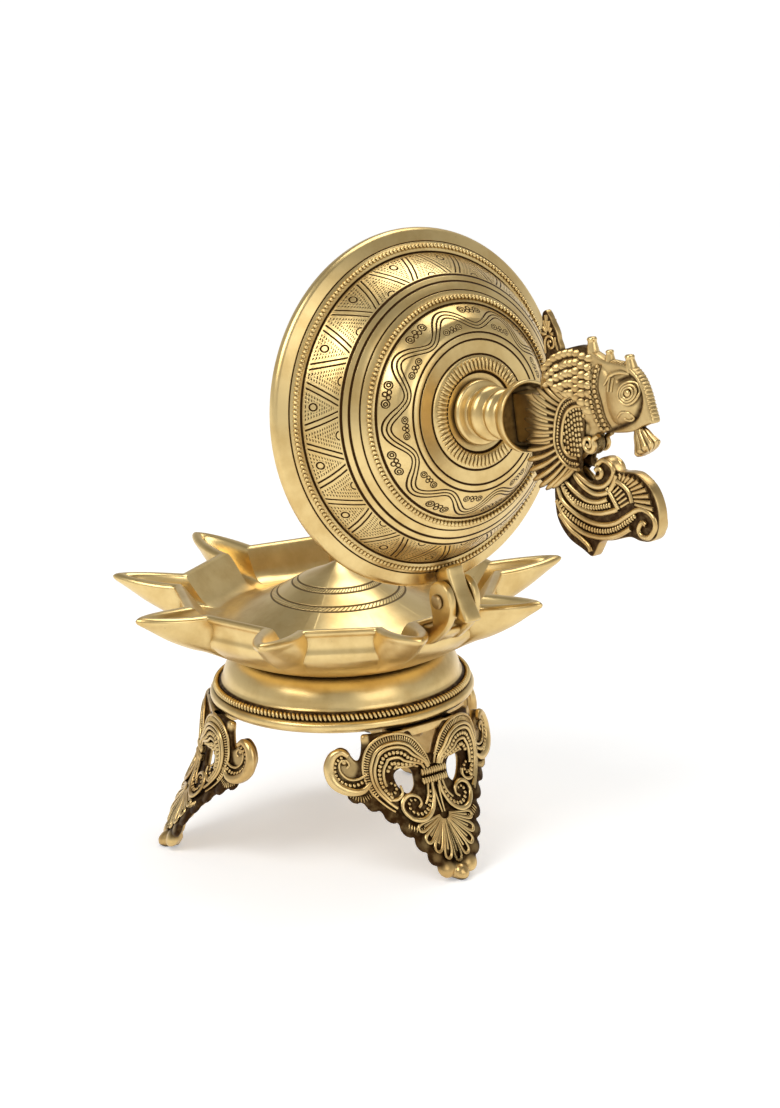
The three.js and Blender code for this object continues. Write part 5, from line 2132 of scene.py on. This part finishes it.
@dataclass(frozen=True)
class Studio:
    """The camera at the photograph's angle, a white floor and soft lamps."""

    target: tuple[float, float, float] = (28.62, 4.26, 120.0)
    back: tuple[float, float, float] = (0.7626, -0.5767, 0.2930)
    distance: float = 1800.0
    roll: float = 2.14
    lens: float = 152.3
    sensor: float = 36.0

    def camera(self) -> None:
        """Places the camera."""
        back = Vector(self.back).normalized()
        right = Vector((0, 0, 1)).cross(back).normalized()
        up = back.cross(right)
        roll = radians(self.roll)
        c, s = cos(roll), sin(roll)
        rolled_right, rolled_up = right * c - up * s, right * s + up * c
        data = bpy.data.cameras.new("camera")
        data.lens, data.sensor_width = self.lens, self.sensor
        data.clip_start, data.clip_end = 0.05, 50
        obj = bpy.data.objects.new("camera", data)
        turn = Matrix((rolled_right, rolled_up, back)).transposed().to_4x4()
        target = Vector(self.target) + Vector((LAMP_AXIS_X, 0, 0))
        obj.matrix_world = Matrix.Translation((target + back * self.distance) * MM) @ turn
        link(obj)
        bpy.context.scene.camera = obj

    def lamp(self, name: str, azimuth: float, height: float, distance: float, size: float,
             power: float) -> None:
        """Hangs a square soft lamp that faces the object.

        Args:
            name: Its name.
            azimuth: Degrees round the object from the camera's side, anticlockwise from above.
            height: Degrees above the object.
            distance: Metres from the object.
            size: Side of the square, in metres.
            power: Its power in watts.
        """
        data = bpy.data.lights.new(name, "AREA")
        data.size, data.energy = size, power
        obj = bpy.data.objects.new(name, data)
        front = atan2(self.back[1], self.back[0]) + radians(azimuth)
        rise = radians(height)
        way = Vector((cos(front) * cos(rise), sin(front) * cos(rise), sin(rise)))
        obj.location = way * distance + Vector((0, 0, 0.12))
        obj.rotation_euler = way.to_track_quat("Z", "Y").to_euler()
        link(obj)

    def floor(self) -> None:
        """Lays the white floor, which shows white to the camera and in the metal and keeps the shadow."""
        size = 12.0
        mesh = bpy.data.meshes.new("floor")
        corners = [(-size, -size, 0), (size, -size, 0), (size, size, 0), (-size, size, 0)]
        mesh.from_pydata(corners, [], [(0, 1, 2, 3)])
        material = bpy.data.materials.new("white_floor")
        g = Graph.cleared(material)
        seen = self.seen_directly(g)
        paper = g.node("ShaderNodeBsdfDiffuse", Color=(0.82, 0.82, 0.82, 1))
        place = g.node("ShaderNodeTexCoord")
        away = g.node("ShaderNodeVectorMath", {"operation": "LENGTH"}, Vector=place.outputs["Object"])
        far = g.signal(away, "Value").step(0.3, 2.4)
        glow = g.node("ShaderNodeEmission", Color=(1, 1, 1, 1), Strength=seen * (far * 0.44 + 0.37))
        both = g.node("ShaderNodeAddShader")
        g.feed(both.inputs[0], paper.outputs[0])
        g.feed(both.inputs[1], glow.outputs[0])
        g.node("ShaderNodeOutputMaterial", Surface=both.outputs[0])
        mesh.materials.append(material)
        obj = bpy.data.objects.new("floor", mesh)
        link(obj)

    @staticmethod
    def seen_directly(g: Graph) -> Signal:
        """One for rays from the camera, in reflections and through glass, and nought for the rest."""
        path = g.node("ShaderNodeLightPath")
        seen = g.signal(path, "Is Camera Ray").math("MAXIMUM", g.signal(path, "Is Glossy Ray"))
        return seen.math("MAXIMUM", g.signal(path, "Is Transmission Ray"))

    def surroundings(self) -> None:
        """Lights the object evenly from a pale room, a little darker overhead."""
        world = bpy.data.worlds.new("pale_room")
        bpy.context.scene.world = world
        g = Graph.cleared(world)
        way = g.node("ShaderNodeTexCoord")
        split = g.node("ShaderNodeSeparateXYZ", Vector=way.outputs["Generated"])
        low = 1.0 - g.signal(split, "Z").step(0.05, 0.9)
        level = low * 0.4 + 0.24
        direct = g.node("ShaderNodeLightPath")
        strength = level.math("MAXIMUM", g.signal(direct, "Is Camera Ray"))
        shade = g.node("ShaderNodeBackground", Color=(1, 1, 1, 1), Strength=strength)
        g.node("ShaderNodeOutputWorld", Surface=shade.outputs[0])

    def build(self) -> None:
        """Sets up the camera, floor, room and lamps."""
        self.camera()
        self.floor()
        self.surroundings()
        self.lamp("key_lamp", -48, 48, 1.3, 0.75, 8.4)
        self.lamp("fill_lamp", 38, 28, 1.5, 0.9, 4.2)
        self.lamp("top_lamp", 150, 66, 1.2, 0.7, 5.4)
        bpy.context.scene.view_settings.view_transform = "Standard"


def dress_frame_nodes(shop: Workshop) -> None:
    """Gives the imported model's own nodes that stay shown a brass finish.

    Args:
        shop: Tools and finishes.
    """
    antique = shop.antique.material()
    dark = shop.dark.material()
    hidden_fastener = ("screw", "stud", "nut", "washer", "pin")
    for name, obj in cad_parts.items():
        obj.data.materials.clear()
        obj.data.materials.append(dark if any(word in name for word in hidden_fastener) else antique)


def main() -> None:
    """Builds the lamp's looks piece by piece."""
    logging.basicConfig(level=logging.INFO, format="%(name)s %(message)s")
    shop = Workshop(
        beads=StampRow(),
        ridge=Ridge(),
        polished=BrassFinish("polished_brass"),
        antique=BrassFinish("antique_brass", bright=(0.74, 0.54, 0.24), deep=(0.5, 0.31, 0.11),
                            roughness=0.29, hollow_reach=2.2, hollow_strength=1.0),
        dark=BrassFinish("fastener_brass", bright=(0.5, 0.36, 0.17), deep=(0.36, 0.23, 0.09), roughness=0.4,
                         hollow_strength=0.6),
    )
    Studio().build()
    dress_frame_nodes(shop)
    Bowl().build(shop)
    Pedestal().build(shop)
    Leg().build(shop)
    Lid().build(shop)
    Knob().build(shop)
    Hinge().build(shop)
    wing = Wing()
    PeacockBody().build(shop, wing)
    wing.build(shop, Flank.LEFT, "bird_wing_left")
    wing.build(shop, Flank.RIGHT, "bird_wing_right")
    Tail().build(shop)
    Plume().build(shop)
    Bud().build(shop)


if __name__ == "__main__":
    main()
